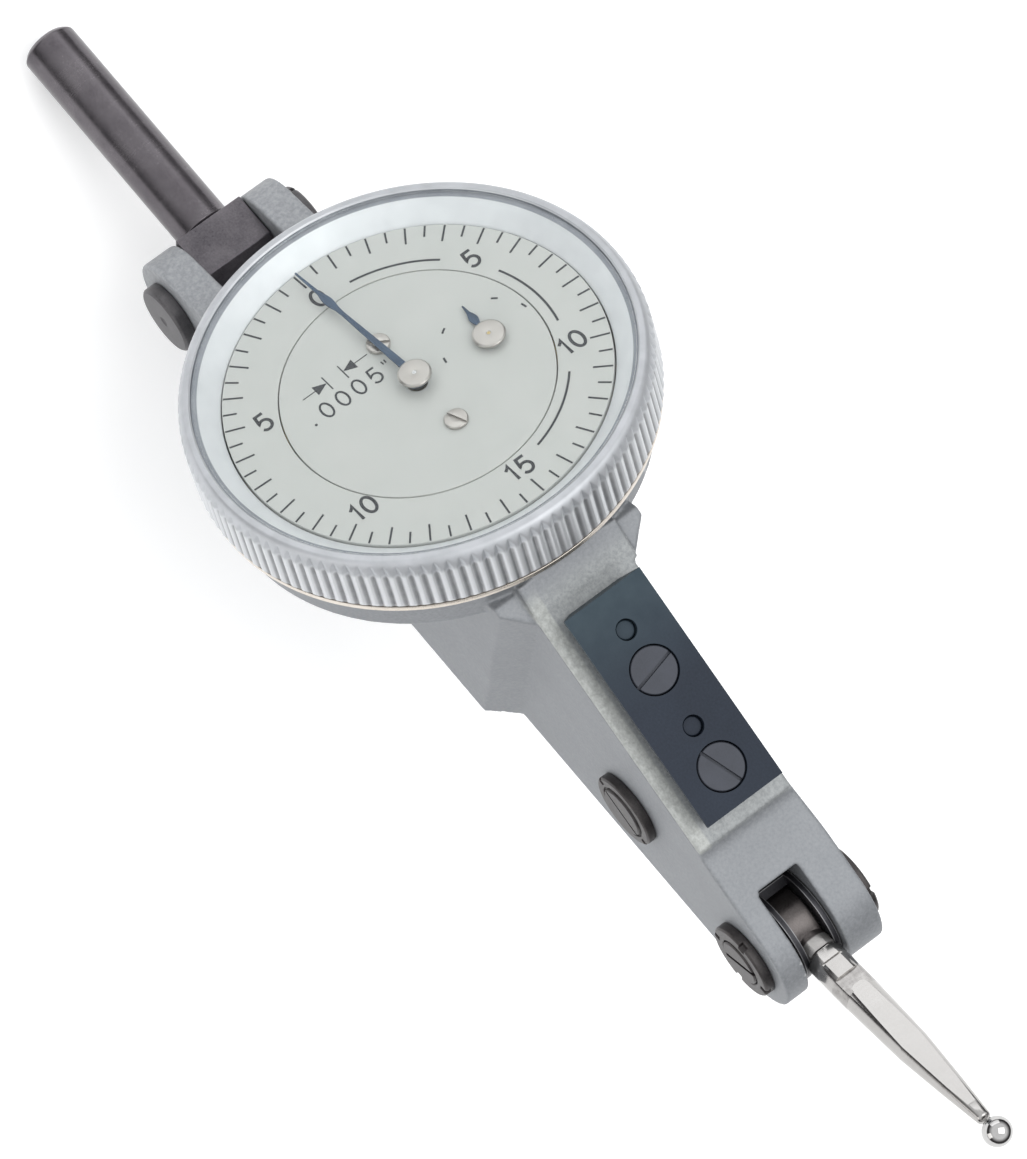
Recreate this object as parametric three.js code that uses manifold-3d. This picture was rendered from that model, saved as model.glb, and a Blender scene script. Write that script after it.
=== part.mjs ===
// Lever-type dial test indicator with dovetail rail and swivel stem.
// Millimetres. Origin: centre of the dovetail rail's top face. +Z is that face's
// outward normal, +X runs along the rail towards the contact ball, +Y is left.
import * as THREE from 'three';
import { mergeVertices } from 'three/addons/utils/BufferGeometryUtils.js';
import Module from 'manifold-3d';

const wasm = await Module();
wasm.setup();

// ---------------------------------------------------------------- dimensions
const DIAL_TILT = 40.3;                 // dial plane against the rail's face, degrees
const DIAL_C = [-25.26, -7.84];         // dial centre in X, Z
const BODY_SLOPE = 22.8;                // underside and stem against the rail's face
const BOTTOM_AT = [13.22, -13.17];      // a point on the underside line
const FORK_P = [17.1, -6.9];            // contact pivot
const FORK_R = 4.2, FORK_END = [16.82, -6.85];   // rounded fork end and its centre
const CONTACT_Y = -0.45;                // plane that the contact point moves in
const CONTACT_ANG = 38.3;               // contact point against the rail's face
const CONTACT_L = 21.1;                 // pivot to ball centre
const BALL_R = 1.02;
const MID_P = [5.1, -9.8];              // sector lever pivot
const SWIVEL_P = [-36.9, -30.1];        // stem swivel pivot
const SWIVEL_R = 3.8;                   // rounded clevis ears
const STEM_LEN = 21.0, STEM_R = 1.98;
const NECK_HW = 3.96, BLOCK_HW = 5.8, EAR_HW = 5.23, CLEVIS_HW = 2.76;
const RIDGE_Z = -2.05;                  // neck's upper face under the rail
const NOSE_Z = -2.65;                   // and in front of it
const RAIL_HL = 8.0, RAIL_HW = 3.04;
const RAIL_SCREW_X = [-2.14, 5.37], RAIL_PIN_X = [-5.27, 2.2];
const BEZEL_R = 15.6;
const CUP_R = 14.9, CUP_BOTTOM = -6.9;
const COUNTER = [0.55, 5.53];           // counter arbor in the dial's own axes
const CROWN_W = -13.0;                  // crown arbor's depth below the dial

// gear train: lever arm 10:3, sector 120:12, crown 42:8, counter 8:36
const ARM_RATIO = 10 / 3;
const SECTOR_T = 120, CROWN_PINION_T = 12, CROWN_T = 42, CENTRE_PINION_T = 8;
const COUNTER_PINION_T = 8, COUNTER_WHEEL_T = 36;

// ------------------------------------------------------------------- helpers
const rad = Math.PI / 180;
const cD = Math.cos(DIAL_TILT * rad), sD = Math.sin(DIAL_TILT * rad);
const D2R = (u, w) => [DIAL_C[0] + u * cD - w * sD, DIAL_C[1] + u * sD + w * cD];
const slope = Math.tan(BODY_SLOPE * rad);
const zb = (x) => BOTTOM_AT[1] + (x - BOTTOM_AT[0]) * slope;
const bx = [Math.cos(BODY_SLOPE * rad), Math.sin(BODY_SLOPE * rad)];   // along the body
const bn = [-bx[1], bx[0]];                                           // up from it

const clean = (g) => {
  let h = g.clone();
  h.deleteAttribute('normal'); h.deleteAttribute('uv');
  h = mergeVertices(h, 1e-5);
  // drop slivers that merging closed up, and face every triangle outwards
  const p = h.attributes.position.array, ix = h.index.array, out = [];
  let vol = 0;
  for (let i = 0; i < ix.length; i += 3) {
    const [a, b, c] = [ix[i], ix[i + 1], ix[i + 2]];
    if (a === b || b === c || a === c) continue;
    out.push(a, b, c);
    const A = a * 3, B = b * 3, C = c * 3;
    vol += p[A] * (p[B + 1] * p[C + 2] - p[B + 2] * p[C + 1]) - p[A + 1] * (p[B] * p[C + 2] - p[B + 2] * p[C]) + p[A + 2] * (p[B] * p[C + 1] - p[B + 1] * p[C]);
  }
  if (vol < 0) for (let i = 0; i < out.length; i += 3) [out[i], out[i + 1]] = [out[i + 1], out[i]];
  h.setIndex(out);
  return h;
};
const solid = (g) => {
  const h = clean(g);
  const p = h.attributes.position.array;
  const m = new wasm.Mesh({ numProp: 3, vertProperties: new Float32Array(p), triVerts: new Uint32Array(h.index.array) });
  return new wasm.Manifold(m);
};
const geomOf = (man) => {
  const m = man.getMesh();
  const g = new THREE.BufferGeometry();
  const n = m.vertProperties.length / m.numProp, pos = new Float32Array(n * 3);
  for (let i = 0; i < n; i++) for (let k = 0; k < 3; k++) pos[i * 3 + k] = m.vertProperties[i * m.numProp + k];
  g.setAttribute('position', new THREE.BufferAttribute(pos, 3));
  g.setIndex(new THREE.BufferAttribute(new Uint32Array(m.triVerts), 1));
  g.computeVertexNormals();
  return g;
};
const add = (a, ...bs) => bs.reduce((s, b) => s.add(b), a);
const cut = (a, ...bs) => bs.reduce((s, b) => s.subtract(b), a);

// a polygon in X, Z pushed from y0 to y1
const sideGeo = (pts, y0, y1) => {
  const g = new THREE.ExtrudeGeometry(new THREE.Shape(pts.map(([x, z]) => new THREE.Vector2(x, z))), { depth: y1 - y0, bevelEnabled: false, steps: 1 });
  g.rotateX(Math.PI / 2);              // (x, y, z) -> (x, -z, y)
  g.translate(0, y1, 0);
  return g;
};
const side = (pts, y0, y1) => solid(sideGeo(pts, y0, y1));
// a polygon in the plan plane, pushed along local Z
const planGeo = (pts, z0, z1, holes = []) => {
  const s = new THREE.Shape(pts.map(([x, y]) => new THREE.Vector2(x, y)));
  for (const h of holes) s.holes.push(new THREE.Path(h.map(([x, y]) => new THREE.Vector2(x, y))));
  const g = new THREE.ExtrudeGeometry(s, { depth: z1 - z0, bevelEnabled: false, steps: 1 });
  g.translate(0, 0, z0);
  return g;
};
const arc = (cx, cz, r, a0, a1, n) => Array.from({ length: n + 1 }, (_, i) => {
  const a = (a0 + (a1 - a0) * i / n) * rad;
  return [cx + r * Math.cos(a), cz + r * Math.sin(a)];
});
const ringPts = (cx, cy, r, n = 24) => arc(cx, cy, r, 0, 360 * (n - 1) / n, n - 1);
// cylinder along Y
const cylYGeo = (x, z, r, y0, y1, n = 18) => {
  const g = new THREE.CylinderGeometry(r, r, y1 - y0, n); g.translate(x, (y0 + y1) / 2, z); return g;
};
const cylY = (...a) => solid(cylYGeo(...a));
// cylinder along Z
const cylZGeo = (x, y, r, z0, z1, n = 18) => {
  const g = new THREE.CylinderGeometry(r, r, z1 - z0, n); g.rotateX(Math.PI / 2); g.translate(x, y, (z0 + z1) / 2); return g;
};
const cylZ = (...a) => solid(cylZGeo(...a));
const boxGeo = (x0, x1, y0, y1, z0, z1) => {
  const g = new THREE.BoxGeometry(x1 - x0, y1 - y0, z1 - z0); g.translate((x0 + x1) / 2, (y0 + y1) / 2, (z0 + z1) / 2); return g;
};
const box = (...a) => solid(boxGeo(...a));
// a profile of [radius, height] turned about local Z
const latheZGeo = (pts, n = 48) => {
  const g = new THREE.LatheGeometry(pts.map(([r, h]) => new THREE.Vector2(r, h)), n);
  g.rotateX(Math.PI / 2);              // lathe's +Y becomes +Z
  return g;
};
const latheZ = (pts, n) => solid(latheZGeo(pts, n));
const dialMat = new THREE.Matrix4().makeRotationY(-DIAL_TILT * rad).setPosition(DIAL_C[0], 0, DIAL_C[1]);
const inDial = (g) => solid(g.applyMatrix4(dialMat));      // dial axes -> part axes
// local frame whose +Z points along +Y or -Y of the part, at (x, y, z)
const outY = (g, x, y, z, s) => {
  g.rotateX(s > 0 ? -Math.PI / 2 : Math.PI / 2);
  g.translate(x, y, z);
  return g;
};
// local frame whose +X runs along the body slope and +Z up from it
const inBody = (g, x, z, a = BODY_SLOPE) => { g.rotateY(-a * rad); g.translate(x, 0, z); return g; };

// involute gear outline: teeth, module, backlash, first tooth's angle, only teeth k0..k1
const gearPts = (N, m, bl, a0 = 0, k0 = 0, k1 = N - 1, addn = 0.85, dedn = 1.1) => {
  const rp = m * N / 2, rb = rp * Math.cos(20 * rad), ra = rp + addn * m, rf = rp - dedn * m;
  const inv = (a) => Math.tan(a) - a, out = [];
  const half = (r) => Math.PI / (2 * N) - bl / (2 * rp) + inv(20 * rad) - (r > rb ? inv(Math.acos(rb / r)) : 0);
  const rs = [rf, (Math.max(rb, rf) + rp) / 2, ra];
  for (let k = k0; k <= k1; k++) {
    const c = a0 * rad + k * 2 * Math.PI / N;
    for (const r of rs) out.push([r * Math.cos(c - half(r)), r * Math.sin(c - half(r))]);
    for (const r of rs.slice().reverse()) out.push([r * Math.cos(c + half(r)), r * Math.sin(c + half(r))]);
  }
  return out;
};

const group = new THREE.Group(); group.name = 'dial_test_indicator';
const dial = new THREE.Group(); dial.name = 'dial_axes';
dial.position.set(DIAL_C[0], 0, DIAL_C[1]); dial.rotation.y = -DIAL_TILT * rad;
group.add(dial);

const MAT = {
  satin: [0x9aa3a6, 0.45, 0.9], bezel: [0xc4cad2, 0.35, 0.95], dial: [0xcfd4c8, 0.6, 0.0], silver: [0xe3e6ea, 0.4, 0.6],
  glass: [0xf4f8fa, 0.05, 0.0], blued: [0x3c4654, 0.35, 0.8], nickel: [0xb9b2a8, 0.3, 0.95], black: [0x2b2d33, 0.5, 0.6],
  oxide: [0x4a4648, 0.4, 0.8], brass: [0xb59a5c, 0.35, 0.95], steel: [0xc8c8c6, 0.2, 1.0], screwd: [0x3d3b3d, 0.4, 0.8],
};
const put = (parent, name, g, mat) => {
  const [color, roughness, metalness] = MAT[mat];
  const geo = g.isBufferGeometry ? clean(g) : geomOf(g);
  if (g.isBufferGeometry) geo.computeVertexNormals();
  const mesh = new THREE.Mesh(geo, new THREE.MeshStandardMaterial({ color, roughness, metalness }));
  mesh.name = name;
  if (mat === 'glass') { mesh.material.transparent = true; mesh.material.opacity = 0.35; }
  parent.add(mesh);
  return mesh;
};

// ------------------------------------------------------------------- housing
// cup under the bezel, turned about the dial's normal
const cupSolid = inDial(latheZGeo([[0, CUP_BOTTOM], [13.9, CUP_BOTTOM], [14.4, -6.45], [CUP_R, -3.55], [13.75, -3.55], [13.75, -1.3], [0, -1.3]], 44));
const topEar = D2R(-23.28, -5.65);
const aTop = 90 + DIAL_TILT, aBot = 270 + BODY_SLOPE;
const earProfile = [
  ...arc(SWIVEL_P[0], SWIVEL_P[1], SWIVEL_R, aTop, aBot, 16),
  [-12, zb(-12)], D2R(2, -5.65),
];
const ears = side(earProfile, -EAR_HW, EAR_HW);
// wide shoulder block, its front corners chamfered down to the neck
const FR = [-10.2, -3.4], FB = [-4.5, zb(-4.5)];
const fl = Math.hypot(FB[0] - FR[0], FB[1] - FR[1]);
const fe = [(FB[0] - FR[0]) / fl, (FB[1] - FR[1]) / fl], fn = [-fe[1], fe[0]];
const CH = BLOCK_HW - NECK_HW;
const blockProfile = [
  D2R(-9, -5.65), [-24, zb(-24)], [FB[0] + fn[0] * CH, zb(FB[0] + fn[0] * CH)], [FR[0] + fn[0] * CH, FR[1] + fn[1] * CH + 0.35], [-11.0, -2.3], D2R(11, -5.8),
];
let block = side(blockProfile, -BLOCK_HW, BLOCK_HW);
for (const s of [-1, 1]) {
  const tri = planGeo([[0, BLOCK_HW * s], [CH + 2, BLOCK_HW * s], [CH + 2, (NECK_HW - 2) * s], [CH, NECK_HW * s]].map(([a, b]) => [a, b]), -4, fl + 6);
  // columns: local x -> fn, local y -> Y, local z -> fe
  const mm = new THREE.Matrix4().set(fn[0], 0, fe[0], FR[0], 0, 1, 0, 0, fn[1], 0, fe[1], FR[1], 0, 0, 0, 1);
  let g = tri.applyMatrix4(mm);
  const so = solid(g);
  block = block.subtract(so.intersect(box(-30, 30, s > 0 ? NECK_HW : -20, s > 0 ? 20 : -NECK_HW, -60, 10)));
}
const neckProfile = [
  [-12.5, -6.2], [-12.0, zb(-12)], ...arc(FORK_END[0], FORK_END[1], FORK_R, -90 + BODY_SLOPE, 90, 14), [10.3, NOSE_Z], [9.75, NOSE_Z + 0.12], [9.35, NOSE_Z + 0.38], [9.2, RIDGE_Z],
  [-8.6, RIDGE_Z], [-11.3, RIDGE_Z + 0.6],
];
const neck = side(neckProfile, -NECK_HW, NECK_HW);
// the neck's left upper edge is relieved beside the rail and runs out towards the fork
const relief = (len) => {
  const g = new THREE.ExtrudeGeometry(new THREE.Shape([[0, -1.9], [0, -2.0], [0.49, -3.95], [0.9, -3.95], [0.9, -1.9]].map(([y, z]) => new THREE.Vector2(y, z))), { depth: len, bevelEnabled: false });
  return g.applyMatrix4(new THREE.Matrix4().set(0, 0, 1, 0, 1, 0, 0, 0, 0, 1, 0, 0, 0, 0, 0, 1));
};
let neckTop = neck.subtract(solid(relief(17.4).translate(-8.4, 3.52, 0)));
neckTop = neckTop.subtract(solid(relief(8.5).rotateZ(3.3 * rad).translate(8.98, 3.52, 0)));
let housing = add(cupSolid, ears, block, neckTop);
// movement well, keel cavity under it and the bored neck
const well = inDial(cylZGeo(0, 0, 13.0, -5.7, 1, 36));
const keel = side([D2R(-8, -5.0), [-24.3, zb(-24.3) - 0.3], [-7.7, zb(-7.7) - 0.3], [-11.2, -7.2], D2R(10.2, -5.0)], -4.3, 4.3);
const neckBore = side([[-13, zb(-13) + 1.5], [12.2, zb(12.2) + 1.6], [12.2, -4.9], [-13, -4.9]].map(([x, z]) => [x, Math.max(z, zb(x) + 1.5)]), -2.65, 2.65);
const coverSeat = solid(inBody(boxGeo(-24.2, 1.1, -4.9, 4.9, -1, 1.0), -4.6, zb(-4.6)));
// fork slot, clevis slot
const slot = side([...arc(FORK_P[0], FORK_P[1], 5.42, 90, 270, 16), [30, -12.1], [30, -1.4]], CONTACT_Y - 1.75, CONTACT_Y + 1.55);
const armWindow = side([[10, -10.4], [13.5, -9.4], [13.5, -5.9], [10, -6.6]], CONTACT_Y - 1.15, CONTACT_Y + 1.15);
const cs = arc(SWIVEL_P[0], SWIVEL_P[1], 5.3, -90 + BODY_SLOPE - 20, 90 + BODY_SLOPE + 30, 14);
const clevis = side([...cs, [-60, -12], [-60, -48]], -CLEVIS_HW, CLEVIS_HW);
housing = cut(housing, well, keel, neckBore, coverSeat, slot, armWindow, clevis,
  cylY(FORK_P[0], FORK_P[1], 1.75, -9, 9), cylY(MID_P[0], MID_P[1], 1.35, -9, 9), cylY(SWIVEL_P[0], SWIVEL_P[1], 1.3, -9, 9));
for (const x of RAIL_SCREW_X) housing = housing.subtract(cylZ(x, 0, 0.8, -4.4, 0));
for (const x of RAIL_PIN_X) housing = housing.subtract(cylZ(x, 0, 0.72, -4.2, 0));
// base cover screw holes
const coverScrewAt = [-25.5, -5.9].map((x) => [x, zb(x)]);
for (const [x, z] of coverScrewAt) housing = housing.subtract(solid(inBody(cylZGeo(0, 0, 0.55, -0.5, 2.6, 16), x, z)));
put(group, 'housing', housing, 'satin');

// -------------------------------------------------------------- base cover
let cover = solid(inBody(boxGeo(-24.1, 1.0, -4.8, 4.8, 0.05, 0.9), -4.6, zb(-4.6)));
for (const [x, z] of coverScrewAt) cover = cut(cover, solid(inBody(cylZGeo(0, 0, 0.62, -0.5, 2.6, 16), x, z)), solid(inBody(cylZGeo(0, 0, 1.15, -0.5, 0.42, 20), x, z)));
put(group, 'base_cover', cover, 'satin');
coverScrewAt.forEach(([x, z], i) => {
  let s = add(cylZ(0, 0, 1.05, 0.06, 0.36, 20), cylZ(0, 0, 0.5, 0.3, 2.3, 16));
  s = s.subtract(box(-1.2, 1.2, -0.14, 0.14, -0.1, 0.2));
  const g = geomOf(s); inBody(g, 0, 0);
  const m = put(group, ['base_cover_screw_rear', 'base_cover_screw_front'][i], g, 'screwd');
  m.position.set(x, 0, z);
});

// -------------------------------------------------------------- dovetail rail
const railPts = [[-RAIL_HW, 0], [-RAIL_HW, -0.25], [-2.05, -1.95], [-2.05, RIDGE_Z + 0.03], [2.05, RIDGE_Z + 0.03], [2.05, -1.95], [RAIL_HW, -0.25], [RAIL_HW, 0]];
const railG = new THREE.ExtrudeGeometry(new THREE.Shape(railPts.map(([y, z]) => new THREE.Vector2(y, z))), { depth: 2 * RAIL_HL, bevelEnabled: false });
railG.applyMatrix4(new THREE.Matrix4().set(0, 0, 1, -RAIL_HL, 1, 0, 0, 0, 0, 1, 0, 0, 0, 0, 0, 1));
let rail = solid(railG);
for (const x of RAIL_SCREW_X) rail = cut(rail, cylZ(x, 0, 1.68, -1.15, 1, 32), cylZ(x, 0, 0.95, -4, 1));
for (const x of RAIL_PIN_X) rail = cut(rail, cylZ(x, 0, 0.72, -4, 1));
put(group, 'dovetail_rail', rail, 'black');
RAIL_SCREW_X.forEach((x, i) => {
  let s = add(cylZ(0, 0, 1.6, -1.1, -0.06, 32), cylZ(0, 0, 0.75, -4.2, -1.0));
  s = s.subtract(solid(boxGeo(-2, 2, -0.15, 0.15, -0.62, 0.5)));
  const m = put(group, ['dovetail_screw_rear', 'dovetail_screw_front'][i], s, 'screwd');
  m.position.set(x, 0, 0); m.rotation.z = [1.81, 0.38][i];
});
RAIL_PIN_X.forEach((x, i) => {
  const m = put(group, ['dowel_pin_rear', 'dowel_pin_front'][i], cylZGeo(0, 0, 0.68, -4.0, -0.3, 24), 'screwd');
  m.position.set(x, 0, 0);
});

// ---------------------------------------------------------------------- bezel
let bezel = latheZ([[0, -2.85], [BEZEL_R, -2.85], [BEZEL_R, 0.1], [0, 0.1]], 44);
bezel = add(bezel, latheZ([[0, -3.2], [15.2, -3.2], [15.4, -2.8], [15.4, 0.05], [15.35, 0.7], [15.1, 1.35], [14.85, 1.5], [0, 1.5]], 44));
bezel = cut(bezel, latheZ([[0, -4], [13.95, -4], [13.95, -0.75], [12.9, -0.75], [12.9, -0.2], [14.25, 1.1], [14.6, 1.1], [14.6, 2], [0, 2]], 44));
put(dial, 'bezel', bezel, 'bezel');
put(dial, 'bezel_seat_ring', latheZGeo([[13.85, -3.5], [15.25, -3.5], [15.25, -3.25], [13.85, -3.25], [13.85, -3.5]], 40), 'brass');
put(dial, 'crystal', latheZGeo([[0, 1.2], [14.5, 1.2], [14.5, 1.45], [14.2, 1.6], [0, 1.7]], 40), 'glass');
put(dial, 'dial_ring', latheZGeo([[9.15, -0.55], [12.8, -0.55], [12.8, -0.02], [9.15, -0.02], [9.15, -0.55]], 40), 'dial');

// ----------------------------------------------------------- dial and movement
const SCREW_U = 4.25;
const hole = (x, y, r, n = 12) => ringPts(x, y, r, n).reverse();
put(dial, 'dial_disc', planGeo(ringPts(0, 0, 9.05, 48), -0.55, -0.02,
  [hole(0, 0, 0.7), hole(COUNTER[0], COUNTER[1], 0.6), hole(SCREW_U, 0, 0.62), hole(-SCREW_U, 0, 0.62)]), 'dial');
[-SCREW_U, SCREW_U].forEach((u, i) => {
  let s = add(cylZ(0, 0, 0.8, 0.0, 0.28, 24), cylZ(0, 0, 0.5, -2.1, 0.1, 16));
  s = s.subtract(box(-1, 1, -0.1, 0.1, 0.12, 0.5));
  const m = put(dial, ['dial_screw_rear', 'dial_screw_front'][i], s, 'nickel');
  m.position.set(u, 0, 0); m.rotation.z = [0.9, 0.35][i];
});
const pillarAt = [[-8.6, 5.2], [-8.6, -5.2], [9.6, -3.4]];
const upperPts = ringPts(0, 0, 12.6, 40);
put(dial, 'upper_plate', planGeo(upperPts, -2.3, -1.5,
  [hole(0, 0, 0.55), hole(COUNTER[0], COUNTER[1], 0.5), hole(SCREW_U, 0, 0.58), hole(-SCREW_U, 0, 0.58), ...pillarAt.map(([x, y]) => hole(x, y, 0.6))]), 'brass');
pillarAt.forEach(([x, y], i) => {
  const m = put(dial, 'pillar_' + 'abc'[i], latheZGeo([[0, -5.5], [0.5, -5.5], [0.5, -4.85], [0.95, -4.85], [0.95, -2.38], [0.5, -2.38], [0.5, -1.2], [0, -1.2]], 12), 'brass');
  m.position.set(x, y, 0);
});
let lower = solid(planGeo(ringPts(0, 0, 12.6, 40), -5.6, -4.95,
  [hole(0, 0, 0.5), ...pillarAt.map(([x, y]) => hole(x, y, 0.6))]));
for (const s of [-1, 1]) {
  const y0 = s > 0 ? 3.1 : -3.8, y1 = s > 0 ? 3.8 : -3.1;
  let cheek = side([[-2.4, -5.2], [-1.7, CROWN_W - 1.4], [1.7, CROWN_W - 1.4], [2.4, -5.2]], y0, y1);
  lower = lower.add(cheek).subtract(cylY(0, CROWN_W, 0.6, y0 - 1, y1 + 1, 20));
}
put(dial, 'lower_plate', lower, 'brass');

// centre arbor, carrying the crown's pinion, the counter's pinion and the hand
const CP_M = 2 * 4.2 / CROWN_T;
const arborA = latheZ([[0, -10.0], [0.2, -9.9], [0.34, -9.6], [0.34, 1.1], [0, 1.1]], 14);
const centreP = solid(planGeo(gearPts(CENTRE_PINION_T, CP_M, 0.045, 90), -9.4, -8.1));
const CTR_D = Math.hypot(...COUNTER), CTR_M = 2 * CTR_D / (COUNTER_PINION_T + COUNTER_WHEEL_T);
const ctrAng = Math.atan2(COUNTER[1], COUNTER[0]) / rad;
const counterP = solid(planGeo(gearPts(COUNTER_PINION_T, CTR_M, 0.045, ctrAng), -3.45, -2.65));
put(dial, 'centre_arbor', add(arborA, centreP, counterP, latheZ([[0, -4.75], [0.85, -4.75], [0.85, -3.95], [0, -3.95]], 14)), 'steel');
// main hand points to the zero mark at the rear of the dial
const handPts = [[0.95, 0.42], [-3.2, 0.34], [-7.0, 0.3], [-8.3, 0.48], [-9.2, 0.3], [-12.35, 0.07], [-12.35, -0.07], [-9.2, -0.3], [-8.3, -0.48], [-7.0, -0.3], [-3.2, -0.34], [0.95, -0.42]];
let hand = solid(planGeo(handPts, 0.68, 0.8)).add(cylZ(0, 0, 1.0, 0.68, 0.8, 24)).subtract(cylZ(0, 0, 0.38, 0, 1, 20));
const handMesh = put(dial, 'main_hand', hand, 'blued'); handMesh.rotation.z = 3.1 * rad;
put(dial, 'hand_cap', cut(latheZ([[0, 0.82], [1.12, 0.82], [1.12, 1.02], [1.0, 1.1], [0, 1.1]], 28), cylZ(0, 0, 0.38, 0.5, 1.5, 20)), 'nickel');
// counter wheel and hand
const cw = gearPts(COUNTER_WHEEL_T, CTR_M, 0.045, 180 + ctrAng + 180 / COUNTER_WHEEL_T);
const ctrG = solid(planGeo(cw, -3.3, -2.85)).add(latheZ([[0, -4.9], [0.32, -4.9], [0.32, 0.6], [0, 0.6]], 16));
const ctr = put(dial, 'counter_wheel', ctrG, 'brass'); ctr.position.set(COUNTER[0], COUNTER[1], 0);
const chPts = [[0.5, 0.3], [-1.1, 0.28], [-1.9, 0.52], [-2.5, 0.45], [-3.6, 0.05], [-3.6, -0.05], [-2.5, -0.45], [-1.9, -0.52], [-1.1, -0.28], [0.5, -0.3]];
const ch = put(dial, 'counter_hand', solid(planGeo(chPts, 0.2, 0.3)).add(cylZ(0, 0, 0.85, 0.2, 0.3, 24)).subtract(cylZ(0, 0, 0.36, 0, 1, 16)), 'blued');
ch.position.set(COUNTER[0], COUNTER[1], 0); ch.rotation.z = -3 * rad;
const cc = put(dial, 'counter_cap', cut(latheZ([[0, 0.34], [1.12, 0.34], [1.12, 0.52], [1.0, 0.6], [0, 0.6]], 28), cylZ(0, 0, 0.36, 0.2, 1.2, 16)), 'nickel');
cc.position.set(COUNTER[0], COUNTER[1], 0);
// hairspring: flat spiral from the arbor's collet to its stud
const sp = [], TURNS = 3.5, NS = 70, R0 = 1.05, R1 = 3.6, TH = 0.06;
for (let i = 0; i <= NS; i++) { const t = i / NS, a = t * TURNS * 2 * Math.PI, r = R0 + (R1 - R0) * t; sp.push([(r + TH) * Math.cos(a), (r + TH) * Math.sin(a)]); }
for (let i = NS; i >= 0; i--) { const t = i / NS, a = t * TURNS * 2 * Math.PI, r = R0 + (R1 - R0) * t; sp.push([(r - TH) * Math.cos(a), (r - TH) * Math.sin(a)]); }
put(dial, 'hairspring', planGeo(sp, -4.5, -4.15), 'steel');
put(dial, 'hairspring_stud', cylZGeo(-4.2, 0, 0.35, -4.9, -3.9, 16), 'brass');

// crown wheel on its cross arbor
const toCrown = (g) => outY(g, 0, 0, 0, 1);
let crown = cylY(0, 0, 4.5, -2.2, -1.0, 42).subtract(cylY(0, 0, 3.7, -1.25, 2, 24)).subtract(cylY(0, 0, 0.53, -3, 2, 20));
const pitch = 2 * Math.PI * 4.2 / CROWN_T;
const toothShape = [[-pitch * 0.25, 0], [pitch * 0.25, 0], [pitch * 0.10, 0.33], [-pitch * 0.10, 0.33]];
for (let k = 0; k < CROWN_T; k++) {
  const g = planGeo(toothShape, 3.78, 4.48);          // x tangential, y axial, z radial
  g.applyMatrix4(new THREE.Matrix4().set(1, 0, 0, 0, 0, 1, 0, -1.05, 0, 0, 1, 0, 0, 0, 0, 1));
  g.rotateY((k + 0.5) * 2 * Math.PI / CROWN_T);
  crown = crown.add(solid(g));
}
const cwm = put(dial, 'crown_wheel', crown, 'brass'); cwm.position.set(0, 0, CROWN_W);
const crownRow = D2R(0, CROWN_W);
const SEC_D = Math.hypot(crownRow[0] - MID_P[0], crownRow[1] - MID_P[1]);
const SEC_M = 2 * SEC_D / (SECTOR_T + CROWN_PINION_T);
const secAng = Math.atan2(crownRow[1] - MID_P[1], crownRow[0] - MID_P[0]) / rad;      // arm direction in X, Z
const arborPts = gearPts(CROWN_PINION_T, SEC_M, 0.07, secAng + 180 + 180 / CROWN_PINION_T);
const crownArbor = side(arborPts, 1.15, 2.3).add(cylY(0, 0, 0.48, -4.0, 4.0, 20));
const cam = put(group, 'crown_arbor', crownArbor, 'steel'); cam.position.set(crownRow[0], 0, crownRow[1]);

// ----------------------------------------------------------- sector lever
const SR = SEC_M * SECTOR_T / 2;
const secTeeth = gearPts(SECTOR_T, SEC_M, 0.07, secAng, -3, 3);
const rimIn = SR - 1.6, hs = 3.6 * 360 / SECTOR_T;
const onArc = (r, a) => [r * Math.cos(a * rad), r * Math.sin(a * rad)];
const secPts = [...arc(0, 0, rimIn, secAng + hs, secAng - hs, 6), onArc(SR - 1.1 * SEC_M, secAng - hs), ...secTeeth, onArc(SR - 1.1 * SEC_M, secAng + hs)];
let sector = side(secPts, 1.35, 2.1);
const ca = Math.cos(secAng * rad), sa = Math.sin(secAng * rad);
const P = (r, t) => [r * ca - t * sa, r * sa + t * ca];
sector = sector.add(side([P(0, 1.1), P(rimIn + 0.5, 1.0), P(rimIn + 0.5, -1.0), P(0, -1.1)], 1.35, 2.1)).add(cylY(0, 0, 1.35, 1.35, 2.1, 24));
// short forked arm towards the fork pivot
const AX = [FORK_P[0] - MID_P[0], FORK_P[1] - MID_P[1]], AD = Math.hypot(...AX), ad = [AX[0] / AD, AX[1] / AD];
const A2 = AD / (1 + ARM_RATIO), A1 = AD - A2;
const Q = (r, t) => [r * ad[0] - t * ad[1], r * ad[1] + t * ad[0]];
sector = sector.add(side([Q(0, 1.1), Q(A2 + 0.9, 1.0), Q(A2 + 0.9, -1.0), Q(0, -1.1)], 1.35, 2.1));
sector = sector.subtract(side([Q(A2 - 0.7, 0.46), Q(A2 + 2, 0.46), Q(A2 + 2, -0.46), Q(A2 - 0.7, -0.46)], 1, 3)).subtract(cylY(0, 0, 0.62, 0, 3, 20));
const secM = put(group, 'sector_lever', sector, 'brass'); secM.position.set(MID_P[0], 0, MID_P[1]);
const sar = put(group, 'sector_arbor', cylYGeo(0, 0, 0.58, -2.4, 2.4, 20), 'steel'); sar.position.set(MID_P[0], 0, MID_P[1]);

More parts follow.
